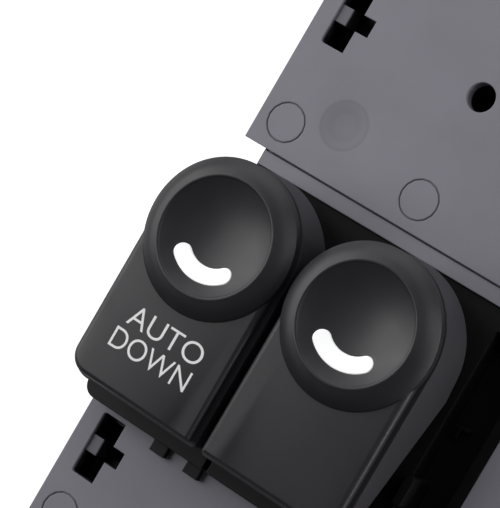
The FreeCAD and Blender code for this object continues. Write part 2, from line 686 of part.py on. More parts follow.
def makeMountingPlate():
    body = newBody("mounting_plate")
    left, right = size.plateLeftX, size.plateRightX
    outline = flatSketch(body, "plateOutline", plateUnderZ)
    drawPolygon(
        outline,
        (
            (left, size.plateFrontY),
            (right, size.plateFrontY),
            (right, size.plateRearY),
            (left, size.plateRearY),
            (left, size.stepRearY),
            (left + size.ledgeInset, size.stepRearY),
            (left + size.ledgeInset, ledgeFrontY),
            (size.windowRightX, ledgeFrontY),
            (size.windowRightX, size.stepFrontY),
            (left, size.stepFrontY),
        ),
    )
    pad(body, "plate", outline, size.plateThick)
    cutBox(
        body, "ledge",
        left, ledgeFrontY - size.ledgeWidth, size.windowRightX, size.stepRearY,
        size.plateTopZ - size.ledgeDrop, size.plateTopZ,
    )
    cutBox(
        body, "ledgeGroove",
        left, size.stepRearY - size.grooveWidth, size.windowRightX, size.stepRearY,
        size.plateTopZ - size.grooveDepth, size.plateTopZ,
    )
    for number, (x, y) in enumerate(screwHoles):
        padPost(body, f"boss{number}", x, y, size.bossRadius, size.screwPadZ, plateUnderZ)
        ring = flatSketch(body, f"ring{number}Sketch", size.plateTopZ)
        drawManySided(ring, x, y, size.ringRadius, sinkSides)
        drawManySided(ring, x, y, size.ringRadius - size.ringWidth, sinkSides)
        pocket(body, f"ring{number}", ring, size.ringDepth)
        cutPost(body, f"bossBore{number}", x, y, size.screwRadius + size.boreGap,
                size.screwPadZ, size.screwPadZ + size.screwReach + size.boreGap)
    # the sink mark is a shallow hollow of two slopes
    mark = newSketch(body, "sinkMarkSketch", "XZ_Plane", -size.dimpleY)
    mark.setExpression("AttachmentOffset.Base.x", size.dimpleX.text)
    drawPolygon(
        mark,
        (
            (0, size.plateTopZ - size.dimpleDepth),
            (size.dimpleRadius * 0.6, size.plateTopZ - size.dimpleDepth * 0.7),
            (size.dimpleRadius, size.plateTopZ),
            (0, size.plateTopZ),
        ),
    )
    turn(body, "PartDesign::Groove", "sinkMark", mark, False)
    for name, middle in hookSlotMiddles():
        x1 = size.hookSlotX
        x2 = x1 + size.hookSlotWidth
        half = size.hookSlotLength / 2
        arm = size.hookSlotArmLength / 2
        corner = size.hookSlotRound
        slot = flatSketch(body, f"hookSlot{name}Sketch", size.plateTopZ)
        drawOutline(
            slot,
            (
                (x1 + corner, middle - half),
                (x2, middle - half),
                (x2, middle - arm),
                (x2 + size.hookSlotArm, middle - arm),
                (x2 + size.hookSlotArm, middle + arm),
                (x2, middle + arm),
                (x2, middle + half),
                (x1 + corner, middle + half, x1 + corner, middle + half - corner),
                (x1, middle + half - corner),
                (x1, middle - half + corner, x1 + corner, middle - half + corner),
            ),
        )
        pocket(body, f"hookSlot{name}", slot, size.plateThick)
        padBox(body, f"hookTab{name}",
               size.caseLeftX + size.caseWall + size.plugGap, middle - arm, x1 + size.hookTabLength, middle + arm,
               size.catchTopZ, size.plateTopZ - size.hookTabDrop)
    for name, y in (("Rear", size.mountRearY), ("Front", size.mountFrontY)):
        cutRound(body, f"mountHole{name}", size.mountX, y, size.mountHoleRadius, plateUnderZ, size.plateTopZ)
    return body


# Lower case: open tub with screw pads, board posts, hook catches and the connector opening

def makeLowerCase():
    body = newBody("lower_case")
    tub = flatSketch(body, "tubOutline", 0)
    drawRoundedBox(tub, size.caseLeftX, size.caseFrontY, size.caseRightX, size.caseRearY, size.caseCorner)
    pad(body, "tub", tub, plateUnderZ)
    inside = flatSketch(body, "insideOutline", plateUnderZ)
    wall = size.caseWall
    drawRoundedBox(inside, size.caseLeftX + wall, size.caseFrontY + wall, size.caseRightX - wall, size.caseRearY - wall,
                   size.caseCorner - wall)
    pocket(body, "inside", inside, plateUnderZ - size.caseFloor)
    for number, (x, y) in enumerate(screwHoles):
        padPost(body, f"screwPad{number}", x, y, size.screwPadRadius, size.caseFloor, size.screwPadZ)
        cutPost(body, f"screwSink{number}", x, y, size.screwSinkRadius, 0, size.screwSinkZ, sinkSides)
        cutPost(body, f"screwHole{number}", x, y, size.screwRadius + size.holeGap,
                size.screwSinkZ, size.screwPadZ)
    for number, (x, y) in enumerate(boardPosts):
        padPost(body, f"post{number}", x, y, size.postRadius, size.caseFloor, size.boardBottomZ)
        cutPost(body, f"postBore{number}", x, y, size.boardScrewRadius + size.boreGap,
                size.boardBottomZ - size.boardScrewReach - size.boreGap, size.boardBottomZ)
    padPost(body, "mountTube", size.mountX, size.mountRearY, size.tubeRadius, size.caseFloor, plateUnderZ)
    cutRound(body, "mountBore", size.mountX, size.mountRearY, size.mountHoleRadius, 0, plateUnderZ)
    for name, middle in hookSlotMiddles():
        x1, x2, half = size.hookSlotX + size.plugGap, size.catchRightX, size.catchHalfY
        padBox(body, f"catch{name}", x1, middle - half, x2, middle + half, size.caseFloor, size.catchTopZ)
        inner = size.catchWall
        cutBox(body, f"catchCore{name}", x1 + inner, middle - half + inner, x2 - inner, middle + half - inner,
               0, size.catchTopZ - inner)
    # the corner beside the ledge's end is cut away and closed by a wall
    padBox(body, "reliefWall", size.caseLeftX, size.reliefFrontY - wall, size.reliefX + wall, size.stepRearY + wall,
           size.caseFloor, plateUnderZ)
    cutBox(body, "relief", size.caseLeftX, size.reliefFrontY, size.reliefX, size.stepRearY, 0, plateUnderZ)
    half = size.plugWidth / 2 + size.plugGap
    cutBox(body, "plugOpening", size.plugX - half, size.caseFrontY, size.plugX + half, size.caseFrontY + wall,
           boardTopZ - size.plugGap, plateUnderZ)
    return body


# Switch housing: deck, front shelves, side well, bearing towers, detent saddles and slider rails

def makeSwitchHousing():
    body = newBody("switch_housing")
    flange = size.flangeReach
    right = size.windowRightX - size.housingGap
    front = size.stepFrontY + size.housingGap
    rear = ledgeFrontY - size.housingGap
    insideLeftX = size.caseLeftX + size.caseWall + size.plugGap
    padBox(body, "flange", insideLeftX, front - flange, right + flange, rear + flange,
           size.flangeBottomZ, plateUnderZ)
    padBox(body, "deck", size.caseLeftX, front, right, rear, plateUnderZ, size.deckZ)
    wall = size.housingWall
    cutUp = flatSketch(body, "undersideSketch", size.flangeBottomZ)
    drawBox(cutUp, insideLeftX + wall, front + wall, right - wall, rear - wall)
    pocket(body, "underside", cutUp, deckUnderZ - size.flangeBottomZ, True)
    # room for the corner relief of the case and its wall
    cutBox(body, "reliefRoom", insideLeftX, size.reliefFrontY - size.caseWall - size.plugGap,
           size.reliefX + size.caseWall + size.plugGap, rear + flange, size.flangeBottomZ, plateUnderZ)
    cutBox(body, "reliefEdge", size.caseLeftX, size.reliefFrontY, size.reliefX + size.reliefCover, rear,
           plateUnderZ, size.deckZ)
    # side well beside the right key
    margin = size.wellMargin
    wellFront, wellRear = front + wall, rear - wall
    padBox(body, "wellPan", size.wellLeftX - margin, wellFront, size.wellRightX + margin / 2, wellRear,
           size.wellFloorZ - margin, deckUnderZ)
    cutBox(body, "well", size.wellLeftX, wellFront + margin, size.wellRightX - margin / 2, wellRear - margin,
           size.wellFloorZ, size.deckZ)
    lugX = size.wellLeftX + size.plugGap
    lug = flatSketch(body, "lugSketch", size.wellFloorZ)
    lugHalf = size.lugLength / 2
    drawRoundedBox(lug, lugX, size.lugY - lugHalf, lugX + size.lugWidth, size.lugY + lugHalf,
                   size.lugRound)
    pad(body, "lug", lug, size.lugTopZ - size.wellFloorZ)
    ribTop = size.wellFloorZ + size.ribHeight
    padBox(body, "wellRib", size.ribX, size.ribRearY - size.ribLength, size.ribX + size.ribThick, size.ribRearY,
           size.wellFloorZ, ribTop)
    padBox(body, "wellRibArm", size.ribX, size.ribRearY - size.ribThick, size.ribX + size.ribArm, size.ribRearY,
           size.wellFloorZ, ribTop)
    # front shelves with their outer corners rounded
    splitHalf = size.shelfSplit / 2
    corner = size.shelfCorner
    edge = keyX(1) + size.keyHalfWidth + size.leverOverhang / 2
    for name, side in keySides:
        shelf = flatSketch(body, f"shelf_{name}Sketch", size.deckZ)
        if side < 0:
            inner = size.shelfSplitX - splitHalf
            stations = (
                (-edge + corner, front), (inner, front), (inner, size.shelfRearY), (-edge, size.shelfRearY),
                (-edge, front + corner, -edge + corner, front + corner),
            )
        else:
            inner = size.shelfSplitX + splitHalf
            stations = (
                (inner, front), (edge - corner, front, edge - corner, front + corner),
                (edge, front + corner), (edge, size.shelfRearY), (inner, size.shelfRearY),
            )
        drawOutline(shelf, stations)
        pad(body, f"shelf_{name}", shelf, size.shelfTopZ - size.deckZ)
    # retaining tabs that lie on the plate in front of the shelves
    for number in range(2):
        middle = size.tabFirstX + size.tabPitch * number
        half = size.tabWidth / 2
        padBox(body, f"tab{number}", middle - half, front - size.tabLength, middle + half, front + size.tabLength,
               size.plateTopZ, size.plateTopZ + size.tabThick)
    for name, side in keySides:
        middle = keyX(side)
        halfX, halfY, inner = size.towerHalfX, size.towerHalfY, size.towerWall
        padBox(body, f"tower_{name}", middle - halfX, -halfY, middle + halfX, halfY, size.deckZ, size.towerTopZ)
        cutBox(body, f"towerCore_{name}", middle - halfX + inner, -halfY + inner, middle + halfX - inner,
               halfY - inner, size.deckZ, size.towerTopZ)
        for end in (-1, 1):
            trunnion = sideSketch(body, f"trunnion_{name}{end + 1}Sketch", middle + halfX * end)
            drawCircle(trunnion, 0, size.pivotZ, size.trunnionRadius)
            pad(body, f"trunnion_{name}{end + 1}", trunnion, size.trunnionLength, end < 0)
        # the saddle's trough is round about the rocking axis
        saddleX = middle + size.plungerX
        padBox(body, f"saddle_{name}", saddleX - size.saddleHalfX, -size.saddleHalfY,
               saddleX + size.saddleHalfX, size.saddleHalfY, size.deckZ, size.saddleTopZ)
        trough = sideSketch(body, f"trough_{name}Sketch", saddleX + size.saddleHalfX)
        drop = size.pivotZ - size.saddleTopZ
        troughHalf = (troughRadius * troughRadius - drop * drop).root()
        drawOutline(
            trough,
            (
                (-troughHalf, size.saddleTopZ, 0, size.pivotZ),
                (troughHalf, size.saddleTopZ),
            ),
        )
        pocket(body, f"trough_{name}", trough, size.saddleHalfX * 2)
        # opening for the drive paddle and hole for the lamp's light
        paddleMiddle = middle + size.paddleX
        half = size.paddleWidth / 2 + size.saddleGap * 2
        swing = size.paddleThick / 2 + (size.pivotZ - deckUnderZ) * size.rockAngle.sine() + size.saddleGap * 2
        cutBox(body, f"paddleSlot_{name}", paddleMiddle - half, -swing, paddleMiddle + half, swing,
               deckUnderZ, size.deckZ)
        cutPost(body, f"lampHole_{name}", middle + size.lampX, size.lampY, size.lampHoleRadius,
                deckUnderZ, size.deckZ)
        for end in (-1, 1):
            inside = paddleMiddle + (size.sliderHalfX + size.runningGap) * end
            outside = inside + size.railThick * end
            first, second = (inside, outside) if end > 0 else (outside, inside)
            padBox(body, f"rail_{name}{end + 1}", first, -size.railHalfY, second, size.railHalfY,
                   boardTopZ + size.railGapZ, deckUnderZ)
    return body


# Rocker levers: skirted levers with bearing ears, drive paddle and plunger tube

def makeRockerLever(name, side):
    body = newBody(f"rocker_lever_{name}")
    middle = keyX(side)
    outline = flatSketch(body, f"leverOutline_{name}", size.skirtLowZ)
    drawKeyOutline(outline, side, -size.leverOverhang)
    pad(body, f"leverBlock_{name}", outline, leverTopZ - size.skirtLowZ)
    core = flatSketch(body, f"leverCoreSketch_{name}", size.skirtLowZ)
    drawKeyOutline(core, side, size.leverWall - size.leverOverhang)
    pocket(body, f"leverCore_{name}", core, roofUnderZ - size.skirtLowZ, True)
    # the skirt's lower edge rises from the axis to both ends
    farX = middle + leverHalfWidth + size.leverWall
    spare = size.leverWall
    below = size.skirtLowZ - spare
    bottom = sideSketch(body, f"skirtEdgeSketch_{name}", farX)
    rearY = size.knobY + leverHalfWidth
    drawPolygon(
        bottom,
        (
            (leverFrontY - spare, below),
            (rearY + spare, below),
            (rearY + spare, size.skirtRearZ),
            (rearY, size.skirtRearZ),
            (0, size.skirtLowZ),
            (leverFrontY + size.leverWall * 2, size.skirtFrontZ),
            (leverFrontY - spare, size.skirtFrontZ),
        ),
    )
    pocket(body, f"skirtEdge_{name}", bottom, (leverHalfWidth + spare) * 2)
    for end in (-1, 1):
        start = middle + (leverHalfWidth - size.leverWall) * end
        ear = sideSketch(body, f"ear_{name}{end + 1}Sketch", start)
        drawManySided(ear, 0, size.pivotZ, size.earRadius, postSides)
        pad(body, f"ear_{name}{end + 1}", ear, size.earInset, end > 0)
        mouth = middle + (leverHalfWidth - size.leverWall - size.earInset) * end
        bore = sideSketch(body, f"bore_{name}{end + 1}Sketch", mouth)
        drawCircle(bore, 0, size.pivotZ, boreRadius)
        pocket(body, f"bore_{name}{end + 1}", bore, size.earInset + size.leverWall - size.boreEnd, end > 0)
    # drive paddle with its round tip
    paddleLeft = middle + size.paddleX - size.paddleWidth / 2
    half = size.paddleThick / 2
    stem = sideSketch(body, f"paddleSketch_{name}", paddleLeft)
    drawBox(stem, -half, size.paddleTipZ, half, roofUnderZ)
    pad(body, f"paddle_{name}", stem, size.paddleWidth)
    tip = sideSketch(body, f"paddleTipSketch_{name}", paddleLeft)
    drawCircle(tip, 0, size.paddleTipZ, size.paddleTipRadius)
    pad(body, f"paddleTip_{name}", tip, size.paddleWidth)
    tubeX = middle + size.plungerX
    tubeBore = size.plungerRadius + size.plungerFit
    padPost(body, f"plungerTube_{name}", tubeX, 0, size.tubeRadiusOut, size.plungerTubeZ, roofUnderZ)
    cutRound(body, f"plungerBore_{name}", tubeX, 0, tubeBore, size.plungerTubeZ, roofUnderZ)
    # light window on the way from the lamp to the bar, and two holes for the cap pegs
    windowHalf = size.barRadius + size.barWidth / 2
    cutBox(body, f"lightWindow_{name}", middle - windowHalf, size.lightFrontY,
           middle + windowHalf, size.lightRearY, roofUnderZ, leverTopZ)
    for number, y in enumerate((size.capPegFrontY, size.capPegRearY)):
        cutPost(body, f"pegHole_{name}{number}", middle, y, size.capPegRadius + size.runningGap,
                roofUnderZ, leverTopZ)
    return body


# Rocker caps: blade with the round knob, its finger dish and the opening for the light bar

crestZ = size.keyTopZ + size.rimRise
dishMouth = size.rimRadius - size.rimWidth
dishMouthZ = crestZ - size.rimDrop
dishFloorZ = crestZ - size.dishDepth
dishRise = dishMouthZ - dishFloorZ
dishBall = (dishMouth * dishMouth + dishRise * dishRise) / (dishRise * 2)
dishCentreZ = dishFloorZ + dishBall


def flankPoints():
    """The knob's flank from its foot to the crest: straight steps along an arc that ends level at the crest."""
    fall = crestZ - size.keyTopZ - size.knobFootRise
    flankBall = (size.flankWidth * size.flankWidth + fall * fall) / (fall * 2)
    steps = int(size.flankSteps.value)
    points = []
    for number in range(steps + 1):
        out = size.flankWidth * (1 - number / steps)
        drop = flankBall - (flankBall * flankBall - out * out).root()
        points.append((size.rimRadius + out, crestZ - drop))
    return points


def drawCrescent(sketch, side, spare):
    """The light bar seen from above: part of a ring about the knob's axis, with round ends."""
    middle = keyX(side)
    half = size.barWidth / 2 + spare
    across = size.barHalfAngle.sine()
    along = size.barHalfAngle.cosine()

    def at(radius, end):
        return middle + radius * across * end, size.knobY - radius * along

    outer, inner, line = size.barRadius + half, size.barRadius - half, size.barRadius
    drawOutline(
        sketch,
        (
            at(outer, -1) + (middle, size.knobY),
            at(outer, 1) + at(line, 1),
            at(inner, 1) + (middle, size.knobY, True),
            at(inner, -1) + at(line, -1),
        ),
    )


def makeRockerCap(name, side):
    body = newBody(f"rocker_cap_{name}")
    middle = keyX(side)
    blade = flatSketch(body, f"bladeOutline_{name}", capBottomZ)
    drawKeyOutline(blade, side, 0)
    pad(body, f"blade_{name}", blade, size.bladeThick)
    section = knobSketch(body, f"knobSection_{name}", side)
    stations = [(0, capBottomZ), (size.knobRadius, capBottomZ)]
    stations += flankPoints()
    stations += [(dishMouth, dishMouthZ), (0, dishMouthZ)]
    drawOutline(section, stations)
    turn(body, "PartDesign::Revolution", f"knob_{name}", section, True)
    hollow = knobSketch(body, f"dishSection_{name}", side)
    drawOutline(
        hollow,
        (
            (0, dishFloorZ, 0, dishCentreZ),
            (dishMouth, dishMouthZ),
            (0, dishMouthZ),
        ),
    )
    turn(body, "PartDesign::Groove", f"dish_{name}", hollow, False)
    rim = flatSketch(body, f"plugOutline_{name}", leverTopZ)
    drawKeyOutline(rim, side, size.jointInset)
    drawKeyOutline(rim, side, size.jointInset + size.leverWall)
    pad(body, f"plug_{name}", rim, size.jointGap)
    for number, y in enumerate((size.capPegFrontY, size.capPegRearY)):
        padPost(body, f"capPeg_{name}{number}", middle, y, size.capPegRadius,
                leverTopZ - size.capPegLength, capBottomZ)
    opening = flatSketch(body, f"barOpeningSketch_{name}", crestZ)
    drawCrescent(opening, side, size.barFit)
    pocket(body, f"barOpening_{name}", opening, crestZ - capBottomZ)
    return body


def makeLightBar(name, side):
    body = newBody(f"light_bar_{name}")
    outline = flatSketch(body, f"barOutline_{name}", capBottomZ)
    drawCrescent(outline, side, 0)
    pad(body, f"bar_{name}", outline, crestZ - capBottomZ)
    # its face follows the dish, a little proud of it
    above = knobSketch(body, f"barFaceSketch_{name}", side)
    topZ = crestZ + size.rimRise
    ball = dishBall - size.barProud
    rise = dishCentreZ - dishMouthZ
    mouth = (ball * ball - rise * rise).root()
    drawOutline(
        above,
        (
            (0, dishFloorZ + size.barProud, 0, dishCentreZ),
            (mouth, dishMouthZ),
            (mouth, topZ),
            (0, topZ),
        ),
    )
    turn(body, "PartDesign::Groove", f"barFace_{name}", above, False)
    return body


# Detent plunger and its spring, in the lever's tube

def makePlunger(name, side):
    body = newBody(f"detent_plunger_{name}")
    x = keyX(side) + size.plungerX
    section = newSketch(body, f"plungerSection_{name}", "XZ_Plane", 0)
    section.setExpression("AttachmentOffset.Base.x", x.text)
    blunt = size.plungerRadius / 3
    drawPolygon(
        section,
        (
            (0, plungerTipZ),
            (blunt, plungerTipZ),
            (size.plungerRadius, plungerTipZ + blunt * 2),
            (size.plungerRadius, plungerTopZ),
            (0, plungerTopZ),
        ),
    )
    turn(body, "PartDesign::Revolution", f"plunger_{name}", section, True)
    return body


def makeSpring(name, side):
    """Spring wound between the plunger and the lever's top plate: each turn is eight straight pieces of
    six-sided wire."""
    spring = doc.addObject("Part::Feature", f"detent_spring_{name}")
    wire = size.springWire.value / 2
    coil = size.plungerRadius.value - wire
    low = plungerTopZ.value + wire
    high = roofUnderZ.value - wire
    middle = (keyX(side) + size.plungerX).value
    steps = int(size.springTurns.value) * 8
    rings = []
    for number in range(steps + 1):
        angle = math.radians(45 * number)
        outward = Vector(math.cos(angle), math.sin(angle), 0)
        centre = Vector(middle, 0, low + (high - low) * number / steps) + outward * coil
        corners = []
        for corner in range(6):
            turned = math.radians(60 * corner)
            # the top and bottom stay inside the round wire
            corners.append(centre + outward * (wire * math.cos(turned)) + Vector(0, 0, wire * math.sin(turned)))
        rings.append(corners)
    faces = []
    for lower, upper in zip(rings, rings[1:]):
        for corner in range(6):
            following = (corner + 1) % 6
            first, second, third, fourth = lower[corner], upper[corner], upper[following], lower[following]
            faces.append(Part.Face(Part.makePolygon([first, second, third, first])))
            faces.append(Part.Face(Part.makePolygon([first, third, fourth, first])))
    for ring in (rings[0], rings[-1]):
        faces.append(Part.Face(Part.makePolygon(ring + ring[:1])))
    spring.Shape = Part.Solid(Part.makeShell(faces))
    return spring


# Contact sliders with their moving contacts

def makeSlider(name, side):
    body = newBody(f"contact_slider_{name}")
    middle = keyX(side) + size.paddleX
    halfX, halfY = size.sliderHalfX, size.sliderHalfY
    padBox(body, f"sliderBlock_{name}", middle - halfX, -halfY, middle + halfX, halfY,
           sliderBottomZ, size.sliderTopZ)
    forkX = size.paddleWidth / 2 + size.forkGap * 2
    forkY = size.paddleTipRadius + size.forkGap
    cutBox(body, f"fork_{name}", middle - forkX, -forkY, middle + forkX, forkY,
           size.sliderTopZ - size.sliderForkDepth, size.sliderTopZ)
    for end in (-1, 1):
        # both ends are stepped down from the fork block
        near = (size.paddleTipRadius + size.sliderForkDepth / 2) * end
        far = halfY * end
        first, second = (near, far) if end > 0 else (far, near)
        cutBox(body, f"sliderStep_{name}{end + 1}", middle - halfX, first, middle + halfX, second,
               size.sliderTopZ - size.sliderForkDepth / 2, size.sliderTopZ)
    return body


def makeMovingContact(name, side):
    middle = keyX(side) + size.paddleX
    halfX = size.sliderHalfX - size.railThick
    halfY = size.sliderHalfY - size.contactThick
    return solidBox(
        f"moving_contact_{name}",
        middle - halfX, -halfY, sliderBottomZ - size.contactThick,
        middle + halfX, halfY, sliderBottomZ,
    )


def makeFixedContacts():
    pads = []
    for name, side in keySides:
        middle = keyX(side) + size.paddleX
        half = size.sliderHalfX - size.railThick
        for number in range(-1, 2):
            y = size.padPitch * number
            pads.append(
                solidBox(
                    f"contactPad_{name}{number + 1}",
                    middle - half, y - size.padLength / 2, boardTopZ,
                    middle + half, y + size.padLength / 2, boardTopZ + size.padThick,
                )
            )
    return gather("fixed_contacts", pads)


# Circuit board and what is soldered to it

def makeBoard():
    body = newBody("circuit_board")
    padBox(body, "board", size.boardLeftX, size.boardFrontY, size.boardRightX, size.boardRearY,
           size.boardBottomZ, boardTopZ)
    cutBox(body, "boardNotch", size.boardLeftX, size.boardFrontY, size.notchX, size.notchY,
           size.boardBottomZ, boardTopZ)
    for number, (x, y) in enumerate(boardPosts):
        cutPost(body, f"boardHole{number}", x, y, size.boardScrewRadius + size.holeGap,
                size.boardBottomZ, boardTopZ)
    for number, middle in enumerate(pinPlaces()):
        half = size.pinSize / 2 + size.boreGap
        for row in range(2):
            y = pinRowY(row)
            cutBox(body, f"pinHole{number}_{row}", middle - half, y - half, middle + half, y + half,
                   size.boardBottomZ, boardTopZ)
    return body


def pinPlaces():
    count = int(size.pinCount.value)
    return [size.plugX + size.pinPitch * (number - (count - 1) / 2) for number in range(count)]


def pinRowY(row):
    return size.pinRowFrontY + size.pinPitch * row


def pinRowZ(row):
    return boardTopZ + size.plugHeight / 2 + size.pinPitch * (row - 0.5)


def makeConnectorHeader():
    body = newBody("connector_header")
    half = size.plugWidth / 2
    bottom = boardTopZ
    top = boardTopZ + size.plugHeight
    padBox(body, "plugBlock", size.plugX - half, size.plugMouthY, size.plugX + half, size.plugRearY, bottom, top)
    wall = size.plugWall
    socket = newSketch(body, "socketSketch", "XZ_Plane", -size.plugMouthY)
    drawBox(socket, size.plugX - half + wall, bottom + wall, size.plugX + half - wall, top - wall)
    pocket(body, "socket", socket, size.plugDepth)
    key = newSketch(body, "keywaySketch", "XZ_Plane", -size.plugMouthY)
    drawBox(key, size.plugX - wall, top - wall, size.plugX + wall, top)
    pocket(body, "keyway", key, size.keywayDepth)
    # the rear is cut away over the pins' bent legs
    cutBox(body, "legRoom", size.plugX - half + wall, size.boardFrontY, size.plugX + half - wall, size.plugRearY,
           bottom, top - wall)
    for number, x in enumerate(pinPlaces()):
        for row in range(2):
            pin = size.pinSize / 2 + size.boreGap
            z = pinRowZ(row)
            hole = newSketch(body, f"pinBore{number}_{row}Sketch", "XZ_Plane", -size.plugMouthY - size.plugDepth)
            drawBox(hole, x - pin, z - pin, x + pin, z + pin)
            pocket(body, f"pinBore{number}_{row}", hole,
                   size.boardFrontY - size.plugMouthY - size.plugDepth)
    return body


def makeConnectorPins():
    pins = []
    half = size.pinSize / 2
    for number, x in enumerate(pinPlaces()):
        for row in range(2):
            y, z = pinRowY(row), pinRowZ(row)
            blade = solidBox(
                f"pinBlade{number}_{row}",
                x - half, size.plugMouthY + size.plugWall * 2, z - half, x + half, y + half, z + half,
            )
            leg = solidBox(
                f"pinLeg{number}_{row}",
                x - half, y - half, size.boardBottomZ - size.pinSize, x + half, y + half, z + half,
            )
            pins.append(fuse(f"pin{number}_{row}", [blade, leg]))
    return gather("connector_pins", pins)


def makeLamp(name, side):
    """Lamp: a square block with a low round lens."""
    x = keyX(side) + size.lampX
    half = size.lampHalf
    lensZ = boardTopZ + size.lampHeight
    block = solidBox(f"lampBlock_{name}", x - half, size.lampY - half, boardTopZ,
                     x + half, size.lampY + half, lensZ)
    lens = solidPrism(f"lampLens_{name}", x, size.lampY, lensZ, lensZ + size.lensHeight, size.lensRadius,
                      postSides)
    return fuse(f"lamp_{name}", [block, lens])


def makeResistors():
    """Row of chip resistors in front of the housing."""
    chips = []
    for number in range(int(size.resistorCount.value)):
        x = size.resistorX + size.resistorPitch * number
        chips.append(
            solidBox(f"resistor{number}", x, size.resistorY, boardTopZ, x + size.resistorWidth,
                     size.resistorY + size.resistorLength, boardTopZ + size.resistorHeight)
        )
    return gather("resistors", chips)


def makeControlChip():
    """Flat chip with a row of legs on each long side."""
    halfX, halfY, legHalf = size.chipWidth / 2, size.chipLength / 2, size.legWidth / 2
    parts = [
        solidBox("chipBlock", size.chipX - halfX, size.chipY - halfY, boardTopZ + size.legThick / 2,
                 size.chipX + halfX, size.chipY + halfY, boardTopZ + size.chipHeight)
    ]
    count = int(size.legCount.value)
    for number in range(count):
        legY = size.chipY + size.legPitch * (number - (count - 1) / 2)
        parts.append(
            solidBox(f"chipLegs{number}", size.chipX - halfX - size.legReach, legY - legHalf, boardTopZ,
                     size.chipX + halfX + size.legReach, legY + legHalf, boardTopZ + size.legThick)
        )
    return fuse("control_chip", parts)


# Screws

def makeScrews(label, places, headZ, headHeight, headRadius, shankRadius, farZ):
    """Pan-head screws: the head lies from headZ to headZ + headHeight, the shank runs on to farZ."""
    screws = []
    for number, (x, y) in enumerate(places):
        low, high = headZ, sized(headZ) + headHeight
        head = solidPrism(f"{label}Head{number}", x, y, low, high, headRadius, sinkSides)
        upward = sized(farZ).value > sized(headZ).value
        shankLow, shankHigh = (high, farZ) if upward else (farZ, low)
        shank = solidPrism(f"{label}Shank{number}", x, y, shankLow, shankHigh, shankRadius, postSides)
        screws.append(fuse(f"{label}{number}", [head, shank]))
    return gather(label, screws)


pieces = [makeMountingPlate(), makeSwitchHousing(), makeLowerCase(), makeBoard()]
for sideName, sideSign in keySides:
    pieces.append(makeRockerCap(sideName, sideSign))
    pieces.append(makeRockerLever(sideName, sideSign))
    pieces.append(makeLightBar(sideName, sideSign))
    pieces.append(makePlunger(sideName, sideSign))
    pieces.append(makeSpring(sideName, sideSign))
    pieces.append(makeSlider(sideName, sideSign))
    pieces.append(makeMovingContact(sideName, sideSign))
    pieces.append(makeLamp(sideName, sideSign))
pieces.append(makeFixedContacts())
pieces.append(makeConnectorHeader())
pieces.append(makeConnectorPins())
pieces.append(makeResistors())
pieces.append(makeControlChip())
pieces.append(
    makeScrews("case_screws", screwHoles, size.screwSinkZ - size.screwHeadHeight, size.screwHeadHeight,
               size.screwHeadRadius, size.screwRadius, size.screwPadZ + size.screwReach)
)
pieces.append(
    makeScrews("board_screws", boardPosts, boardTopZ, size.boardHeadHeight, size.boardHeadRadius,
               size.boardScrewRadius, size.boardBottomZ - size.boardScrewReach)
)

doc.recompute()
for item in doc.Objects:
    if "Invalid" in item.State or "Error" in item.State:
        raise RuntimeError(f"{item.Label} failed: {item.State}")
os.makedirs("parts", exist_ok=True)
for piece in pieces:
    if piece.Shape.isNull() or not piece.Shape.isValid():
        raise RuntimeError(f"{piece.Label} has no sound shape")
    piece.Shape.exportStep(f"parts/{piece.Label}.step")
    print(piece.Label, len(piece.Shape.Solids), round(piece.Shape.Volume, 1))
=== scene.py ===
import json
import math

import bmesh
import bpy
from mathutils import Matrix, Vector


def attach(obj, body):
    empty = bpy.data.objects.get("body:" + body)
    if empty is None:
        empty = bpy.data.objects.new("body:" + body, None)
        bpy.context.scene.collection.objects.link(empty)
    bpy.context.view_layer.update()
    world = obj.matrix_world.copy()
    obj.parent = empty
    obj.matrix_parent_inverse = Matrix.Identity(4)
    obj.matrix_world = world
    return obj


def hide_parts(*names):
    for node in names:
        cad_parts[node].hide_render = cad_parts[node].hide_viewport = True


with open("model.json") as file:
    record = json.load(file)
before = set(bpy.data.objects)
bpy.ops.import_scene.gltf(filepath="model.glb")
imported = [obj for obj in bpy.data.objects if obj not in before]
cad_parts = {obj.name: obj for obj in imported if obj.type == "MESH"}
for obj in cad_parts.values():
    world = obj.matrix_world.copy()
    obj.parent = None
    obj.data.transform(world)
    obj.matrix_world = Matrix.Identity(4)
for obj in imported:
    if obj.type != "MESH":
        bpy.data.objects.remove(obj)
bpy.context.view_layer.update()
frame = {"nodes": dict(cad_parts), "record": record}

nodes = frame["nodes"]
mm = 0.001
print("stage: frame loaded,", len(nodes), "nodes")

# Shader maths


class Link:  # a socket, or a number, that takes part in sums
    def __init__(self, shade, source):
        self.shade = shade
        self.source = source

    def math(self, operation, *others, clamp=False):
        values = [self.source] + [other.source if isinstance(other, Link) else other for other in others]
        settings = {"operation": operation, "use_clamp": clamp}
        return self.shade.node("ShaderNodeMath", settings, dict(enumerate(values)))

    def __add__(self, other):
        return self.math("ADD", other)

    def __radd__(self, other):
        return self.math("ADD", other)

    def __sub__(self, other):
        return self.math("SUBTRACT", other)

    def __rsub__(self, other):
        return Link(self.shade, other).math("SUBTRACT", self)

    def __mul__(self, other):
        return self.math("MULTIPLY", other)

    def __rmul__(self, other):
        return self.math("MULTIPLY", other)

    def __truediv__(self, other):
        return self.math("DIVIDE", other)

    def __pow__(self, other):
        return self.math("POWER", other)

    def over(self, limit):
        return self.math("GREATER_THAN", limit)

    def held(self):
        return self.math("ADD", 0.0, clamp=True)


class Tree:  # a node tree that is being filled
    def node(self, kind, settings=None, sockets=None, output=0):
        made = self.tree.nodes.new(kind)
        for name, value in (settings or {}).items():
            setattr(made, name, value)
        for name, value in (sockets or {}).items():
            value = value.source if isinstance(value, Link) else value
            if isinstance(value, bpy.types.NodeSocket):
                self.tree.links.new(value, made.inputs[name])
            else:
                made.inputs[name].default_value = value
        return Link(self, made.outputs[output])


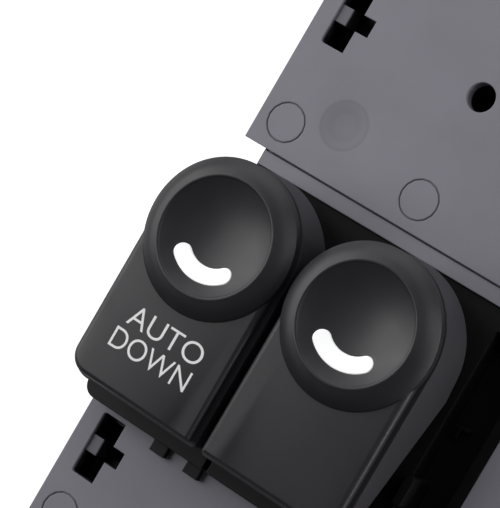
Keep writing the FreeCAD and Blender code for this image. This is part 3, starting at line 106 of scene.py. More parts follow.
class Shade(Tree):  # one material and its nodes
    def __init__(self, name, colour, roughness, **finish):
        self.material = bpy.data.materials.new(name)
        self.material.use_nodes = True
        self.material.diffuse_color = (*colour, 1)
        self.tree = self.material.node_tree
        self.shader = next(n for n in self.tree.nodes if n.type == "BSDF_PRINCIPLED")
        self.set("Base Color", (*colour, 1))
        self.set("Roughness", roughness)
        for socket, value in finish.items():
            self.set(socket.replace("_", " "), value)

    def set(self, socket, value):
        if isinstance(value, Link):
            self.tree.links.new(value.source, self.shader.inputs[socket])
        else:
            self.shader.inputs[socket].default_value = value

    def place(self):
        return self.node("ShaderNodeTexCoord", output="Object")

    def noise(self, perMetre, detail=2.0, roughness=0.5, stretch=None):
        where = self.place()
        if stretch:
            where = self.node("ShaderNodeMapping", {}, {"Vector": where, "Scale": stretch})
        return self.node(
            "ShaderNodeTexNoise", {},
            {"Vector": where, "Scale": perMetre, "Detail": detail, "Roughness": roughness},
        )

    def blend(self, factor, first, second):
        first, second = (end if isinstance(end, Link) else (*end, 1) for end in (first, second))
        return self.node("ShaderNodeMix", {"data_type": "RGBA"}, {0: factor, 6: first, 7: second}, output=2)

    def bump(self, height, strength, depth, normal=None):
        sockets = {"Height": height, "Strength": strength, "Distance": depth}
        if normal:
            sockets["Normal"] = normal
        return self.node("ShaderNodeBump", {}, sockets)

    def softEdges(self, radius):
        return self.node("ShaderNodeBevel", {"samples": 6}, {"Radius": radius})


class Pattern(Tree):  # one Geometry Nodes group, from named inputs to realised faces of one finish
    def __init__(self, name, inputs):
        self.tree = bpy.data.node_groups.new(name, "GeometryNodeTree")
        self.tree.interface.new_socket("Geometry", in_out="INPUT", socket_type="NodeSocketGeometry")
        self.tree.interface.new_socket("Geometry", in_out="OUTPUT", socket_type="NodeSocketGeometry")
        for label, kind in inputs.items():
            self.tree.interface.new_socket(label, in_out="INPUT", socket_type="NodeSocket" + kind)
        self.given = self.tree.nodes.new("NodeGroupInput")

    def input(self, label):
        return self.given.outputs[label]

    def finish(self, geometry, look):
        realised = self.node("GeometryNodeRealizeInstances", {}, {"Geometry": geometry})
        painted = self.node("GeometryNodeSetMaterial", {}, {"Geometry": realised, "Material": looks[look]})
        self.tree.links.new(painted.source, self.tree.nodes.new("NodeGroupOutput").inputs["Geometry"])

    def grow(self, host, values):  # the host keeps the result as its own mesh
        change = host.modifiers.new("pattern", "NODES")
        change.node_group = self.tree
        for item in self.tree.interface.items_tree:
            if item.in_out == "INPUT" and item.name in values:
                change[item.identifier] = values[item.name]
        result = bpy.data.meshes.new_from_object(host.evaluated_get(bpy.context.evaluated_depsgraph_get()))
        host.modifiers.clear()
        host.data = result
        return host


# Finishes

plateLook = dict(
    low=(0.200, 0.195, 0.226), high=(0.250, 0.243, 0.282), roughness=0.52, grain=2600,
    edge=0.25 * mm, shine=0.3,
    # the two hook slots with their side arms, which get painted shade below the face, darker with depth
    slots=[((-20.0 * mm, y * mm - 5 * mm), (-13.6 * mm, y * mm + 5 * mm)) for y in (-31.4, 38.6)],
    faceZ=19.95 * mm, slotShadeFade=0.85 * mm, slotShadeStrength=0.95, slotShadeColour=(0.008, 0.008, 0.009),
    # painted shade of the sink mark's shallow dimple: its place, a darker disc, and its rims as shares of the
    # radius with their steepness
    mark=(-10.2 * mm, 25.2 * mm), markRadius=3.7 * mm, sinkShadeDisc=0.15, sinkShadeRim=0.07,
    sinkShadeRims=((0.95, 9.0), (0.55, 5.0)), sinkShadeColour=(0.06, 0.058, 0.062),
)
caseLook = dict(low=(0.006, 0.006, 0.0065), high=(0.010, 0.010, 0.011), roughness=0.46, grain=3200,
                edge=0.2 * mm, shine=0.18)
keyLook = dict(low=(0.0185, 0.0170, 0.0200), high=(0.0225, 0.0205, 0.0245), roughness=0.42, grain=5200,
               edge=0.15 * mm, shine=0.45)
leverLook = dict(low=(0.040, 0.038, 0.044), high=(0.052, 0.050, 0.057), roughness=0.48, grain=3600,
                 edge=0.25 * mm, shine=0.25)
plasticNoise = dict(clouds=90, cloudDetail=3.0, cloudRoughness=0.55, sheen=260, sheenChange=0.16,
                    grainStrength=0.35)


def grainedPlastic(name, look, grainDepth=0.012 * mm):
    n = plasticNoise
    shade = Shade(name, look["high"], look["roughness"], Specular_IOR_Level=look["shine"])
    clouds = shade.noise(n["clouds"], n["cloudDetail"], n["cloudRoughness"])
    shade.colour = shade.blend(clouds, look["low"], look["high"])
    shade.set("Base Color", shade.colour)
    shade.set("Roughness", (shade.noise(n["sheen"]) - 0.5) * n["sheenChange"] + look["roughness"])
    grain = shade.noise(look["grain"], 2.0, 0.6)
    shade.set("Normal", shade.bump(grain, n["grainStrength"], grainDepth, shade.softEdges(look["edge"])))
    return shade


def paintedPlateShade(shade, look):  # painted shade in the hook slots and on the moulding's faint sink mark
    spread = shade.node("ShaderNodeSeparateXYZ", {}, {0: shade.place()}).source.node
    x, y, z = (Link(shade, spread.outputs[number]) for number in range(3))
    # painted shade: inside the hook slots the plate's colour darkens with depth below the face
    slotShadeArea = Link(shade, 0.0)
    for low, high in look["slots"]:
        nearX = 1.0 - (x - (low[0] + high[0]) / 2).math("ABSOLUTE").over((high[0] - low[0]) / 2)
        nearY = 1.0 - (y - (low[1] + high[1]) / 2).math("ABSOLUTE").over((high[1] - low[1]) / 2)
        slotShadeArea = (nearX * nearY).math("MAXIMUM", slotShadeArea)
    depth = ((look["faceZ"] - z) / look["slotShadeFade"]).held()
    # painted shade: a darker disc and two darker rings stand in for the shading of the shallow sink dimple
    markX, markY = look["mark"]
    far = ((x - markX) ** 2.0 + (y - markY) ** 2.0) ** 0.5 / look["markRadius"]
    disc = (1.0 - far.over(1.0)) * look["sinkShadeDisc"]
    outerRim, innerRim = (
        (1.0 - (far - place).math("ABSOLUTE") * steepness).held() for place, steepness in look["sinkShadeRims"]
    )
    sinkShade = (disc + (outerRim + innerRim) * look["sinkShadeRim"]).held()
    sinkShaded = shade.blend(sinkShade, shade.colour, look["sinkShadeColour"])
    shade.set("Base Color", shade.blend(slotShadeArea * depth * look["slotShadeStrength"], sinkShaded, look["slotShadeColour"]))
    return shade


def plainFinish(name, colour, roughness, edge=0.1 * mm, **finish):
    shade = Shade(name, colour, roughness, **finish)
    shade.set("Roughness", (shade.noise(420) - 0.5) * 0.14 + roughness)
    shade.set("Normal", shade.softEdges(edge))
    return shade.material


def drawnWire(name, colour, roughness):
    shade = Shade(name, colour, roughness, Metallic=1.0)
    streaks = shade.noise(900, 3.0, 0.6, (1, 1, 12))
    shade.set("Roughness", (streaks - 0.5) * 0.25 + roughness)
    return shade.material


def solderMask(name):
    shade = Shade(name, (0.012, 0.11, 0.05), 0.35)
    lanes = shade.node("ShaderNodeTexBrick", {"offset": 0.5}, {
        "Vector": shade.place(), "Scale": 160.0, "Mortar Size": 0.07, "Brick Width": 0.9, "Row Height": 0.32,
        "Color1": (0, 0, 0, 1), "Color2": (0, 0, 0, 1), "Mortar": (1, 1, 1, 1),
    })
    shade.set("Base Color", shade.blend(lanes, (0.012, 0.11, 0.05), (0.02, 0.17, 0.075)))
    shade.set("Normal", shade.bump(lanes, 0.4, 0.03 * mm))
    return shade.material


looks = {
    "plate": paintedPlateShade(grainedPlastic("grainedGreyPaintedShade", plateLook), plateLook).material,
    "case": grainedPlastic("grainedBlack", caseLook).material,
    "key": grainedPlastic("softTouchPaint", keyLook, 0.006 * mm).material,
    "lever": grainedPlastic("leverMoulding", leverLook).material,
    # painted light: the milky finish of the light bars and lamps glows a little of its own
    "lens": plainFinish("glowingMilkyLens", (0.93, 0.935, 0.94), 0.25, 0.2 * mm, Emission_Color=(1, 1, 1, 1),
                        Emission_Strength=0.35, Coat_Weight=0.3),
    "nylon": plainFinish("whiteNylon", (0.78, 0.77, 0.73), 0.4),
    "wire": drawnWire("springWire", (0.62, 0.62, 0.63), 0.3),
    "slider": plainFinish("sliderNylon", (0.20, 0.19, 0.17), 0.45, 0.15 * mm),
    "brass": plainFinish("platedBrass", (0.80, 0.60, 0.28), 0.25, 0.04 * mm, Metallic=1.0),
    "board": solderMask("solderMask"),
    "chip": plainFinish("chipMoulding", (0.018, 0.018, 0.019), 0.5, 0.06 * mm),
    "screw": drawnWire("zincSteel", (0.55, 0.56, 0.58), 0.34),
    "ink": plainFinish("printedWhite", (0.93, 0.92, 0.93), 0.55, 0.01 * mm),
}
nodeLooks = {
    "mounting_plate": "plate", "lower_case": "case", "switch_housing": "case", "circuit_board": "board",
    "connector_header": "case", "connector_pins": "brass", "fixed_contacts": "brass", "resistors": "chip",
    "control_chip": "chip", "case_screws": "screw", "board_screws": "screw",
}
for side in ("left", "right"):
    nodeLooks.update({
        f"rocker_cap_{side}": "key", f"rocker_lever_{side}": "lever", f"light_bar_{side}": "lens",
        f"detent_plunger_{side}": "nylon", f"detent_spring_{side}": "wire", f"lamp_{side}": "lens",
        f"contact_slider_{side}": "slider", f"moving_contact_{side}": "brass",
    })
bodyOf = {node: body for body, members in frame["record"]["behaviour"]["bodies"].items() for node in members}
print("stage: finishes made,", len(looks))


def paint(thing, look):
    thing.data.materials.clear()
    thing.data.materials.append(looks[look])


for name, thing in nodes.items():
    paint(thing, nodeLooks[name])

# Mesh helpers


def newPiece(name, mesh, look):
    piece = bpy.data.objects.new(name, mesh)
    bpy.context.scene.collection.objects.link(piece)
    paint(piece, look)
    return piece


def smoothFaces(mesh, angle=32):
    work = bmesh.new()
    work.from_mesh(mesh)
    for face in work.faces:
        face.smooth = True
    for edge in work.edges:
        edge.smooth = len(edge.link_faces) == 2 and edge.calc_face_angle(0) < math.radians(angle)
    work.to_mesh(mesh)
    work.free()


def standsFor(piece, node):
    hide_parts(node)
    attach(piece, bodyOf[node])
    return piece


def dressed(node, look, angle=32):  # a merged, smoothly shaded copy that stands for the CAD node
    mesh = nodes[node].data.copy()
    work = bmesh.new()
    work.from_mesh(mesh)
    bmesh.ops.remove_doubles(work, verts=work.verts, dist=0.0005 * mm)
    work.to_mesh(mesh)
    work.free()
    if mesh.has_custom_normals:
        mesh.normals_split_custom_set([(0, 0, 0)] * len(mesh.loops))
    smoothFaces(mesh, angle)
    return standsFor(newPiece(node + "_dressed", mesh, look), node)


def loft(name, rings):  # closed loops of equal count, joined by quads and closed at both ends
    mesh = bpy.data.meshes.new(name)
    count = len(rings[0])
    points = [point for ring in rings for point in ring]
    faces = []
    for level in range(len(rings) - 1):
        for number in range(count):
            after = (number + 1) % count
            a, b = level * count, (level + 1) * count
            faces.append((a + number, a + after, b + after, b + number))
    faces.append(tuple(reversed(range(count))))
    faces.append(tuple(range((len(rings) - 1) * count, len(rings) * count)))
    mesh.from_pydata(points, [], faces)
    return mesh


def outward(mesh):
    work = bmesh.new()
    work.from_mesh(mesh)
    bmesh.ops.remove_doubles(work, verts=work.verts, dist=0.0005 * mm)
    bmesh.ops.recalc_face_normals(work, faces=work.faces)
    work.to_mesh(mesh)
    work.free()


def bakedBoolean(piece, other, operation):  # the other piece is used up
    change = piece.modifiers.new("join", "BOOLEAN")
    change.operation = operation
    change.solver = "EXACT"
    change.object = other
    result = bpy.data.meshes.new_from_object(piece.evaluated_get(bpy.context.evaluated_depsgraph_get()))
    piece.modifiers.clear()
    piece.data = result
    bpy.data.objects.remove(other)


# Key caps

pole = 0.02  # radius of the small face that closes a turned shape in its middle
capSizes = dict(
    pitch=23.9, halfWidth=10.85, frontY=-22.1, topZ=33.0, bottomZ=31.5, edgeRound=0.9,
    cornerOuter=3.0, cornerInner=0.6, knobY=3.45, knobRadius=11.3, footRise=0.2,
    rimRadius=8.55, rimRise=1.75, rimRound=0.5, rimWidth=0.36, rimDrop=0.16, dishDepth=2.05,
    flankSwell=0.16, flankSlope=31.0, crown=0.22, hem=0.12, knobHem=0.15, knobSeat=10.2,
    plugInset=1.2, plugBottomZ=30.8,
    barRadius=5.3, barHalfAngle=42.0, barWidth=2.4, barProud=0.08, barGap=0.05,
    barEdge=((0.0, 0.12), (0.035, 0.035), (0.12, 0.0), (0.6, 0.0)),  # inset and drop of each ring of its face
)


def keyOutline(side, inset, z):
    s = capSizes
    middle = s["pitch"] / 2 * side
    half = s["halfWidth"] - inset
    front = s["frontY"] + inset
    outer, inner = s["cornerOuter"] - inset, s["cornerInner"] - inset
    left, right = (outer, inner) if side < 0 else (inner, outer)
    points = []

    def arc(x, y, radius, start, end, steps):
        radius = max(radius, pole)
        for step in range(steps + 1):
            angle = math.radians(start + (end - start) * step / steps)
            points.append((x + radius * math.cos(angle), y + radius * math.sin(angle), z))

    arc(middle - half + left, front + left, left, 180, 270, 10)
    arc(middle + half - right, front + right, right, 270, 360, 10)
    arc(middle, s["knobY"], half, 0, 180, 72)
    return [Vector(point) * mm for point in points]


def dishPoint(radius):  # height of the dish over its radius
    s = capSizes
    crest = s["topZ"] + s["rimRise"]
    mouth = s["rimRadius"] - s["rimWidth"]
    floor = crest - s["dishDepth"]
    rise = s["dishDepth"] - s["rimDrop"]
    ball = (mouth * mouth + rise * rise) / (2 * rise)
    return floor + ball - math.sqrt(ball * ball - radius * radius)


def turnedShape(name, profile, x, y, steps=144):
    angles = [2 * math.pi * step / steps for step in range(steps)]
    return loft(name, [
        [Vector((x + radius * math.cos(angle), y + radius * math.sin(angle), z)) * mm for angle in angles]
        for radius, z in profile
    ])


def crescent(side, spare, z):
    s = capSizes
    middle, half = s["pitch"] / 2 * side, s["barWidth"] / 2 + spare
    points = []
    sweep = math.radians(s["barHalfAngle"])

    def add(radius, angle, x=0.0, y=0.0):
        across, along = middle + x + radius * math.sin(angle), s["knobY"] + y - radius * math.cos(angle)
        points.append(Vector((across, along, z)) * mm)

    for step in range(33):
        add(s["barRadius"] + half, -sweep + 2 * sweep * step / 32)
    for step in range(1, 12):
        turn = sweep + math.pi * step / 12
        add(half, turn, s["barRadius"] * math.sin(sweep), -s["barRadius"] * math.cos(sweep))
    for step in range(33):
        add(s["barRadius"] - half, sweep - 2 * sweep * step / 32)
    for step in range(1, 12):
        turn = math.pi - sweep + math.pi * step / 12
        add(half, turn, -s["barRadius"] * math.sin(sweep), -s["barRadius"] * math.cos(sweep))
    return points


def crownDrop(x, side):
    s = capSizes
    return s["crown"] * ((x / mm - s["pitch"] / 2 * side) / s["halfWidth"]) ** 2


def crowned(mesh, side):  # the blade's top falls a little to both sides
    s = capSizes
    work = bmesh.new()
    work.from_mesh(mesh)
    for number in range(-5, 6):
        place = Vector(((s["pitch"] / 2 * side + s["halfWidth"] * number / 6) * mm, 0, 0))
        bmesh.ops.bisect_plane(work, geom=work.verts[:] + work.edges[:] + work.faces[:], plane_co=place,
                               plane_no=(1, 0, 0), dist=0.002 * mm)
    for vert in work.verts:
        part = (vert.co.z / mm - s["bottomZ"]) / (s["topZ"] - s["bottomZ"])
        vert.co.z -= crownDrop(vert.co.x, side) * mm * max(0.0, min(1.0, part))
    work.to_mesh(mesh)
    work.free()


def makeCap(side, name):
    s = capSizes
    rounding = s["edgeRound"]
    rings = [keyOutline(side, inset, z) for inset, z in (
        (s["plugInset"], s["plugBottomZ"]), (s["plugInset"], s["bottomZ"]),
        (s["hem"], s["bottomZ"]), (0.0, s["bottomZ"] + s["hem"]),
    )]
    for step in range(9):
        angle = math.pi / 2 * step / 8
        inset = rounding * (1 - math.cos(angle))
        rings.append(keyOutline(side, inset, s["topZ"] - rounding * (1 - math.sin(angle))))
    blade = newPiece(f"capBlade_{name}", loft(f"capBlade_{name}", rings), "key")
    outward(blade.data)
    crest = s["topZ"] + s["rimRise"]
    footZ = s["topZ"] + s["footRise"]
    under, outer, hem = s["bottomZ"] + 0.1, s["knobRadius"], s["knobHem"]
    profile = [(pole, under), (outer - hem, under), (outer, under + hem), (outer, footZ - 0.1)]
    # a long slope with a little swelling, then the narrow rounded crest
    slope = math.radians(s["flankSlope"])
    shoulderRadius = s["rimRadius"] + s["rimRound"] * math.sin(slope)
    shoulderZ = crest - s["rimRound"] * (1 - math.cos(slope))
    for step in range(21):
        part = step / 20
        swell = s["flankSwell"] * math.sin(math.pi * part)
        profile.append((outer + (shoulderRadius - outer) * part + swell * 0.5,
                        footZ + (shoulderZ - footZ) * part + swell))
    inward = math.acos(1 - s["rimDrop"] / s["rimRound"])
    for step in range(1, 15):
        angle = slope - (slope + inward) * step / 14
        profile.append((s["rimRadius"] + s["rimRound"] * math.sin(angle),
                        crest - s["rimRound"] * (1 - math.cos(angle))))
    mouth = s["rimRadius"] - s["rimWidth"]
    for step in range(24):
        radius = mouth * (1 - step / 24)
        profile.append((radius, dishPoint(radius)))
    profile.append((pole, dishPoint(0)))
    x = s["pitch"] / 2 * side
    knob = newPiece(f"knob_{name}", turnedShape(f"knob_{name}", profile, x, s["knobY"]), "key")
    outward(knob.data)
    # the blade gives way to the knob, so that the dish stays open
    seat, low, high = s["knobSeat"], s["bottomZ"] + 0.3, crest + 1
    plunge = turnedShape("plunge", [(pole, low), (seat, low), (seat, high), (pole, high)], x, s["knobY"])
    outward(plunge)
    bakedBoolean(blade, newPiece("plunge", plunge, "key"), "DIFFERENCE")
    bakedBoolean(blade, knob, "UNION")
    slotEnds = [crescent(side, s["barGap"], z) for z in (s["bottomZ"] - 0.5, crest + 0.5)]
    slotCut = newPiece("slotCut", loft("slotCut", slotEnds), "key")
    outward(slotCut.data)
    bakedBoolean(blade, slotCut, "DIFFERENCE")
    blade.name = f"keyCap_{name}"
    crowned(blade.data, side)
    smoothFaces(blade.data, 26)
    return standsFor(blade, f"rocker_cap_{name}")


def makeBar(side, name):  # crescent bar whose face follows the dish
    s = capSizes
    ring = crescent(side, 0.0, 0.0)
    centre = Vector((s["pitch"] / 2 * side, s["knobY"], 0)) * mm

    def lifted(point, inset, drop):
        flat = point - centre
        angle = math.atan2(flat.x, -flat.y)
        limit = math.radians(s["barHalfAngle"])
        held = max(-limit, min(limit, angle))
        spine = Vector((math.sin(held), -math.cos(held), 0)) * s["barRadius"] * mm
        moved = flat + (spine - flat).normalized() * min(inset * mm, (spine - flat).length * 0.9)
        height = dishPoint(moved.length / mm) + s["barProud"] - drop
        return Vector((centre.x + moved.x, centre.y + moved.y, height * mm))

    rings = [[Vector((p.x, p.y, s["bottomZ"] * mm)) for p in ring]]
    rings += [[lifted(p, inset, drop) for p in ring] for inset, drop in s["barEdge"]]
    mesh = loft(f"lightBar_{name}", rings)
    outward(mesh)
    smoothFaces(mesh, 40)
    return standsFor(newPiece(f"lightBar_{name}", mesh, "lens"), f"light_bar_{name}")


for sideName, sideSign in (("left", -1), ("right", 1)):
    makeCap(sideSign, sideName)
    makeBar(sideSign, sideName)
print("stage: key caps and light bars")

# Words on the left key

wordSizes = dict(
    lines=(
        dict(text="AUTO", x=-11.5, y=-11.4, width=12.6),
        dict(text="DOWN", x=-11.9, y=-15.25, width=13.35),
    ),
    height=3.0, thick=0.03, weight=-0.006,
)


def makeWords():
    s = wordSizes
    parts = []
    for line in s["lines"]:
        curve = bpy.data.curves.new(line["text"], "FONT")
        curve.body = line["text"]
        curve.size = 1.0
        curve.extrude = 0.003
        curve.offset = s["weight"]
        curve.align_x = "CENTER"
        holder = bpy.data.objects.new(line["text"], curve)
        bpy.context.scene.collection.objects.link(holder)
        bpy.context.view_layer.update()
        mesh = bpy.data.meshes.new_from_object(holder.evaluated_get(bpy.context.evaluated_depsgraph_get()))
        bpy.data.objects.remove(holder)
        xs = [v.co.x for v in mesh.vertices]
        ys = [v.co.y for v in mesh.vertices]
        zs = [v.co.z for v in mesh.vertices]
        wide = line["width"] / (max(xs) - min(xs))
        tall = s["height"] / (max(ys) - min(ys))
        deep = s["thick"] / (max(zs) - min(zs))
        for v in mesh.vertices:
            v.co = Vector((
                line["x"] + (v.co.x - (max(xs) + min(xs)) / 2) * wide,
                line["y"] + (v.co.y - (max(ys) + min(ys)) / 2) * tall,
                capSizes["topZ"] + (v.co.z - min(zs)) * deep,
            )) * mm
            v.co.z -= crownDrop(v.co.x, -1) * mm
        parts.append(mesh)
    joined = bmesh.new()
    for mesh in parts:
        joined.from_mesh(mesh)
    mesh = bpy.data.meshes.new("keyWords")
    joined.to_mesh(mesh)
    joined.free()
    piece = newPiece("keyWords", mesh, "ink")
    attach(piece, "rocker_left")
    return piece


makeWords()
print("stage: words")

# Plain pieces: merged copies of the solids with soft edges

groove = dict(frontY=16.4 * mm, floorZ=18.4 * mm, shift=0.36 * mm)
for node in ("mounting_plate", "lower_case", "switch_housing", "rocker_lever_left", "rocker_lever_right",
             "connector_header", "detent_plunger_left", "detent_plunger_right", "lamp_left", "lamp_right",
             "contact_slider_left", "contact_slider_right"):
    dressed(node, nodeLooks[node])
# the groove along the ledge shows as a thin line: its front wall comes closer to the rear one
for vert in bpy.data.objects["mounting_plate_dressed"].data.vertices:
    if abs(vert.co.y - groove["frontY"]) < 0.01 * mm and vert.co.z > groove["floorZ"] - 0.01 * mm:
        vert.co.y += groove["shift"]
print("stage: plain pieces")

# Places of the small parts, read from their solids


def islands(node):  # lowest and highest corner of each separate solid in a node
    work = bmesh.new()
    work.from_mesh(nodes[node].data)
    bmesh.ops.remove_doubles(work, verts=work.verts, dist=0.0005 * mm)
    left = set(work.verts)
    boxes = []
    while left:
        waiting = [left.pop()]
        found = []
        while waiting:
            vert = waiting.pop()
            found.append(vert.co.copy())
            for edge in vert.link_edges:
                other = edge.other_vert(vert)
                if other in left:
                    left.remove(other)
                    waiting.append(other)
        boxes.append((
            Vector([min(p[axis] for p in found) for axis in range(3)]),
            Vector([max(p[axis] for p in found) for axis in range(3)]),
        ))
    work.free()
    return sorted(boxes, key=lambda box: (round(box[0].x, 5), round(box[0].y, 5)))


def makeRepeated():  # a shape set on each point of the host
    pattern = Pattern("repeatedShape", {"Shape": "Object", "Turn": "Vector", "Seed": "Int"})
    shape = pattern.node("GeometryNodeObjectInfo", {}, {"Object": pattern.input("Shape")}, output="Geometry")
    turn = pattern.node(
        "FunctionNodeRandomValue", {"data_type": "FLOAT_VECTOR"},
        {0: (0, 0, 0), 1: pattern.input("Turn"), "Seed": pattern.input("Seed")},
    )
    spread = pattern.node(
        "GeometryNodeInstanceOnPoints", {},
        {"Points": pattern.input("Geometry"), "Instance": shape, "Rotation": turn},
    )
    return pattern, spread


def makeCoil():  # a round wire wound about Z
    pattern = Pattern("coil", {"Coil": "Float", "Height": "Float", "Turns": "Float", "Wire": "Float",
                               "Place": "Vector"})
    radius = pattern.input("Coil")
    path = pattern.node(
        "GeometryNodeCurveSpiral", {},
        {"Resolution": 40, "Rotations": pattern.input("Turns"), "Start Radius": radius, "End Radius": radius,
         "Height": pattern.input("Height")},
    )
    ring = pattern.node(
        "GeometryNodeCurvePrimitiveCircle", {}, {"Resolution": 14, "Radius": pattern.input("Wire")}
    )
    wire = pattern.node(
        "GeometryNodeCurveToMesh", {}, {"Curve": path, "Profile Curve": ring, "Fill Caps": True}
    )
    smooth = pattern.node("GeometryNodeSetShadeSmooth", {}, {"Geometry": wire})
    moved = pattern.node(
        "GeometryNodeTransform", {}, {"Geometry": smooth, "Translation": pattern.input("Place")}
    )
    pattern.finish(moved, "wire")
    return pattern


def pointHost(name, points, look):
    mesh = bpy.data.meshes.new(name)
    mesh.from_pydata(points, [], [])
    return newPiece(name, mesh, look)


def repeated(name, shape, points, look, turn=0.0, seed=7):
    pattern, spread = makeRepeated()
    pattern.finish(spread, look)
    host = pointHost(name, points, look)
    pattern.grow(host, {"Shape": shape, "Turn": (0.0, 0.0, turn), "Seed": seed})
    bpy.data.objects.remove(shape)
    paint(host, look)
    return host


# Detent springs

springSizes = dict(wireShare=0.16, turns=4.0)


def makeSprings():
    coil = makeCoil()
    for side in ("left", "right"):
        node = f"detent_spring_{side}"
        low, high = islands(node)[0]
        outer = (high.x - low.x) / 2
        wire = outer * springSizes["wireShare"]
        host = pointHost(f"coil_{side}", [], "wire")
        coil.grow(host, {
            "Coil": outer - wire, "Height": high.z - low.z - 2 * wire, "Wire": wire,
            "Turns": springSizes["turns"],
            "Place": ((low.x + high.x) / 2, (low.y + high.y) / 2, low.z + wire),
        })
        paint(host, "wire")
        standsFor(host, node)


makeSprings()
print("stage: springs")

# Screws: domed heads with a cross recess, and a ribbed shank for the thread

screwSizes = dict(
    case=dict(
        node="case_screws", head=2.4, headHeight=1.8, shank=1.25, pitch=0.8, recess=1.5, headDown=True,
    ),
    board=dict(
        node="board_screws", head=1.9, headHeight=1.3, shank=0.9, pitch=0.6, recess=1.15, headDown=False,
    ),
)


def crossPrism(name, reach, width, bottom, top):
    half = width / 2
    arm = [(reach, -half), (reach, half), (half, half)]
    outline = []
    for quarter in range(4):  # the same arm, a quarter turn further each time
        outline += arm
        arm = [(-y, x) for x, y in arm]
    rings = [
        [Vector((x * share, y * share, z)) * mm for x, y in outline]
        for z, share in ((bottom, 0.55), (top, 1.05))
    ]
    mesh = loft(name, rings)
    outward(mesh)
    return newPiece(name, mesh, "screw")


def makeScrew(name, s, length):  # upright at the origin, the head's flat side at z 0, the shank below
    head, height, shank = s["head"], s["headHeight"], s["shank"]
    core = shank * 0.8
    z = -length + shank * 0.5
    profile = [(pole, -length), (shank * 0.45, -length), (core, z)]
    while z < -s["pitch"]:
        for radius, part in ((core, 0.25), (shank, 0.5), (core, 0.75)):
            profile.append((radius, z + s["pitch"] * part))
        z += s["pitch"]
    profile += [(shank * 0.86, 0.0), (head - 0.1, 0.0), (head, 0.1), (head, height * 0.35)]
    for step in range(1, 9):
        angle = math.pi / 2 * step / 8
        profile.append((head * (0.6 + 0.4 * math.cos(angle)), height * (0.35 + 0.65 * math.sin(angle))))
    profile.append((pole, height))
    mesh = turnedShape(name, profile, 0, 0, 40)
    outward(mesh)
    screw = newPiece(name, mesh, "screw")
    bakedBoolean(screw, crossPrism("recess", s["recess"], s["recess"] * 0.42, height * 0.3, height + 0.3),
                 "DIFFERENCE")
    if s["headDown"]:
        screw.data.transform(Matrix.Rotation(math.pi, 4, "X"))
    smoothFaces(screw.data, 35)
    return screw


def makeScrews():
    for kind, s in screwSizes.items():
        boxes = islands(s["node"])
        length = (boxes[0][1].z - boxes[0][0].z) / mm - s["headHeight"]
        points = []
        for low, high in boxes:
            seat = low.z + s["headHeight"] * mm if s["headDown"] else high.z - s["headHeight"] * mm
            points.append(((low.x + high.x) / 2, (low.y + high.y) / 2, seat))
        screw = makeScrew(f"{kind}Screw", s, length)
        piece = repeated(f"{kind}Screws", screw, points, "screw", turn=2 * math.pi)
        standsFor(piece, s["node"])


makeScrews()
print("stage: screws")

# Connector pins: bent square wire with pointed tips

pinSizes = dict(half=0.32, tip=0.8, bend=0.5)


def bentPin(name, reach, drop):  # the bend is at the origin, the blade runs to -Y, the leg runs down
    s = pinSizes
    half, tip, bend = s["half"], s["tip"], s["bend"]
    stations = [((0, -reach, 0), 0.45, 0.0), ((0, -reach + tip, 0), 1.0, 0.0), ((0, -bend, 0), 1.0, 0.0)]
    for step in range(1, 6):
        angle = math.pi / 2 * step / 6
        stations.append(((0, -bend + bend * math.sin(angle), -bend + bend * math.cos(angle)), 1.0, angle))
    stations += [((0, 0, -bend), 1.0, math.pi / 2), ((0, 0, -drop + tip / 2), 1.0, math.pi / 2),
                 ((0, 0, -drop), 0.5, math.pi / 2)]
    rings = []
    for (x, y, z), share, angle in stations:
        ring = []
        for across, up in ((-1, -1), (1, -1), (1, 1), (-1, 1)):
            side, lift = across * half * share, up * half * share
            ring.append(Vector((x + side, y + lift * math.sin(angle), z + lift * math.cos(angle))) * mm)
        rings.append(ring)
    mesh = loft(name, rings)
    outward(mesh)
    return newPiece(name, mesh, "brass")


def makePins():
    rows = {}
    for low, high in islands("connector_pins"):
        rows.setdefault(round((high.z - low.z) / mm, 1), []).append((low, high))
    half = pinSizes["half"] * mm
    parts = []
    for number, (drop, boxes) in enumerate(sorted(rows.items())):
        reach = (boxes[0][1].y - boxes[0][0].y) / mm - pinSizes["half"]
        pin = bentPin(f"pin{number}", reach, drop - pinSizes["half"])
        points = [((low.x + high.x) / 2, high.y - half, high.z - half) for low, high in boxes]
        parts.append(repeated(f"pinRow{number}", pin, points, "brass"))
    joined = bmesh.new()
    for part in parts:
        joined.from_mesh(part.data)
        bpy.data.objects.remove(part)
    mesh = bpy.data.meshes.new("connectorPins")
    joined.to_mesh(mesh)
    joined.free()
    standsFor(newPiece("connectorPins", mesh, "brass"), "connector_pins")


makePins()
print("stage: connector pins")

# Floor, light and camera

studio = dict(
    floorColour=(0.86, 0.86, 0.86), floorGlow=0.6, floorReach=3.0, floorDrop=0.0002, worldLevel=0.05,
    target=(-12.76, 3.15, 20.0), distance=349.0, tilts=(3.40, -24.43, -1.32), turn=30.2985, lens=180.0,
)
# a light's way is its direction by the picture's right, up and towards the camera
lights = dict(
    leftBox=dict(way=(-0.82, 0.52, 0.24), distance=0.50, width=0.42, height=0.42, level=3.5),
    topBox=dict(way=(0.02, 0.86, 0.30), distance=0.32, width=0.34, height=0.22, level=1.5),
    rightStrip=dict(way=(0.50, 0.20, 0.84), distance=0.60, width=0.30, height=0.40, level=1.6),
    sideStrip=dict(way=(0.86, -0.34, 0.38), distance=0.45, width=0.34, height=0.30, level=5.5),
)


def pictureAxes():
    tiltX, tiltY, turn = (math.radians(angle) for angle in studio["tilts"])
    rows = Matrix.Rotation(turn, 3, "Z") @ Matrix.Rotation(tiltY, 3, "Y") @ Matrix.Rotation(tiltX, 3, "X")
    across, along = rows[0], rows[1]
    # the picture shows the object turned in its plane
    cosTurn, sinTurn = math.cos(math.radians(studio["turn"])), math.sin(math.radians(studio["turn"]))
    right = (cosTurn * across + sinTurn * along).normalized()
    up = cosTurn * along - sinTurn * across
    up = (up - right * up.dot(right)).normalized()
    return right, up, right.cross(up)


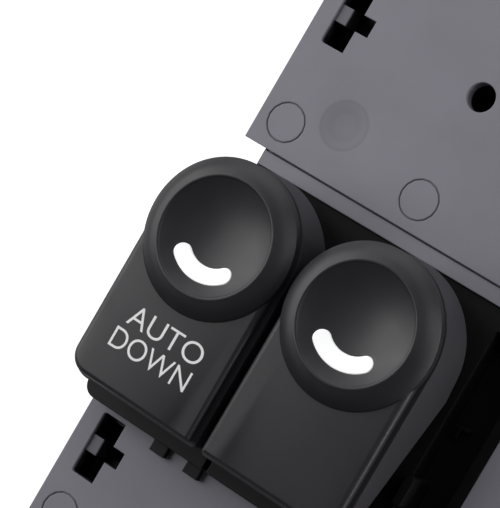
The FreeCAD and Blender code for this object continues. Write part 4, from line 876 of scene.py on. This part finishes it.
def makeFloor():
    mesh = bpy.data.meshes.new("floor")
    corners = [(-1, -1), (1, -1), (1, 1), (-1, 1)]
    points = [(x * studio["floorReach"], y * studio["floorReach"], -studio["floorDrop"]) for x, y in corners]
    mesh.from_pydata(points, [], [(0, 1, 2, 3)])
    floor = bpy.data.objects.new("floor", mesh)
    bpy.context.scene.collection.objects.link(floor)
    shade = Shade("paleFloor", studio["floorColour"], 0.9)
    rays = shade.node("ShaderNodeLightPath", output="Is Camera Ray")
    glow = shade.blend(rays, (0, 0, 0), (studio["floorGlow"],) * 3)
    shade.set("Emission Color", glow)
    shade.set("Emission Strength", 1.0)
    mesh.materials.append(shade.material)


def makeWorld():
    world = bpy.data.worlds.new("studio")
    bpy.context.scene.world = world
    world.use_nodes = True
    tree = world.node_tree
    tree.nodes.clear()
    rays = tree.nodes.new("ShaderNodeLightPath")
    seen = tree.nodes.new("ShaderNodeMath")
    seen.operation = "MAXIMUM"
    tree.links.new(rays.outputs["Is Camera Ray"], seen.inputs[0])
    tree.links.new(rays.outputs["Is Transmission Ray"], seen.inputs[1])
    level = tree.nodes.new("ShaderNodeMapRange")
    level.inputs["To Min"].default_value = studio["worldLevel"]
    level.inputs["To Max"].default_value = 1.0
    tree.links.new(seen.outputs[0], level.inputs["Value"])
    sky = tree.nodes.new("ShaderNodeBackground")
    tree.links.new(level.outputs[0], sky.inputs["Strength"])
    out = tree.nodes.new("ShaderNodeOutputWorld")
    tree.links.new(sky.outputs[0], out.inputs[0])


def makeLights():
    right, up, back = pictureAxes()
    target = Vector((0, 0, 20)) * mm
    for name, s in lights.items():
        data = bpy.data.lights.new(name, "AREA")
        data.shape = "RECTANGLE"
        data.size, data.size_y = s["width"], s["height"]
        data.energy = s["level"] * math.pi * s["width"] * s["height"]
        way = (right * s["way"][0] + up * s["way"][1] + back * s["way"][2]).normalized()
        lamp = bpy.data.objects.new(name, data)
        lamp.location = target + way * s["distance"]
        lamp.rotation_euler = (-way).to_track_quat("-Z", "Y").to_euler()
        bpy.context.scene.collection.objects.link(lamp)


def makeCamera():
    right, up, back = pictureAxes()
    data = bpy.data.cameras.new("camera")
    data.sensor_fit = "HORIZONTAL"
    data.sensor_width = 36.0
    data.lens = studio["lens"]
    data.clip_start = 0.01
    camera = bpy.data.objects.new("camera", data)
    place = (Vector(studio["target"]) + back * studio["distance"]) * mm
    camera.matrix_world = Matrix((
        (right.x, up.x, back.x, place.x), (right.y, up.y, back.y, place.y), (right.z, up.z, back.z, place.z),
        (0, 0, 0, 1),
    ))
    bpy.context.scene.collection.objects.link(camera)
    bpy.context.scene.camera = camera


makeFloor()
makeWorld()
makeLights()
makeCamera()
bpy.context.scene.view_settings.view_transform = "Standard"
print("stage: floor, light and camera")

bpy.context.view_layer.update()
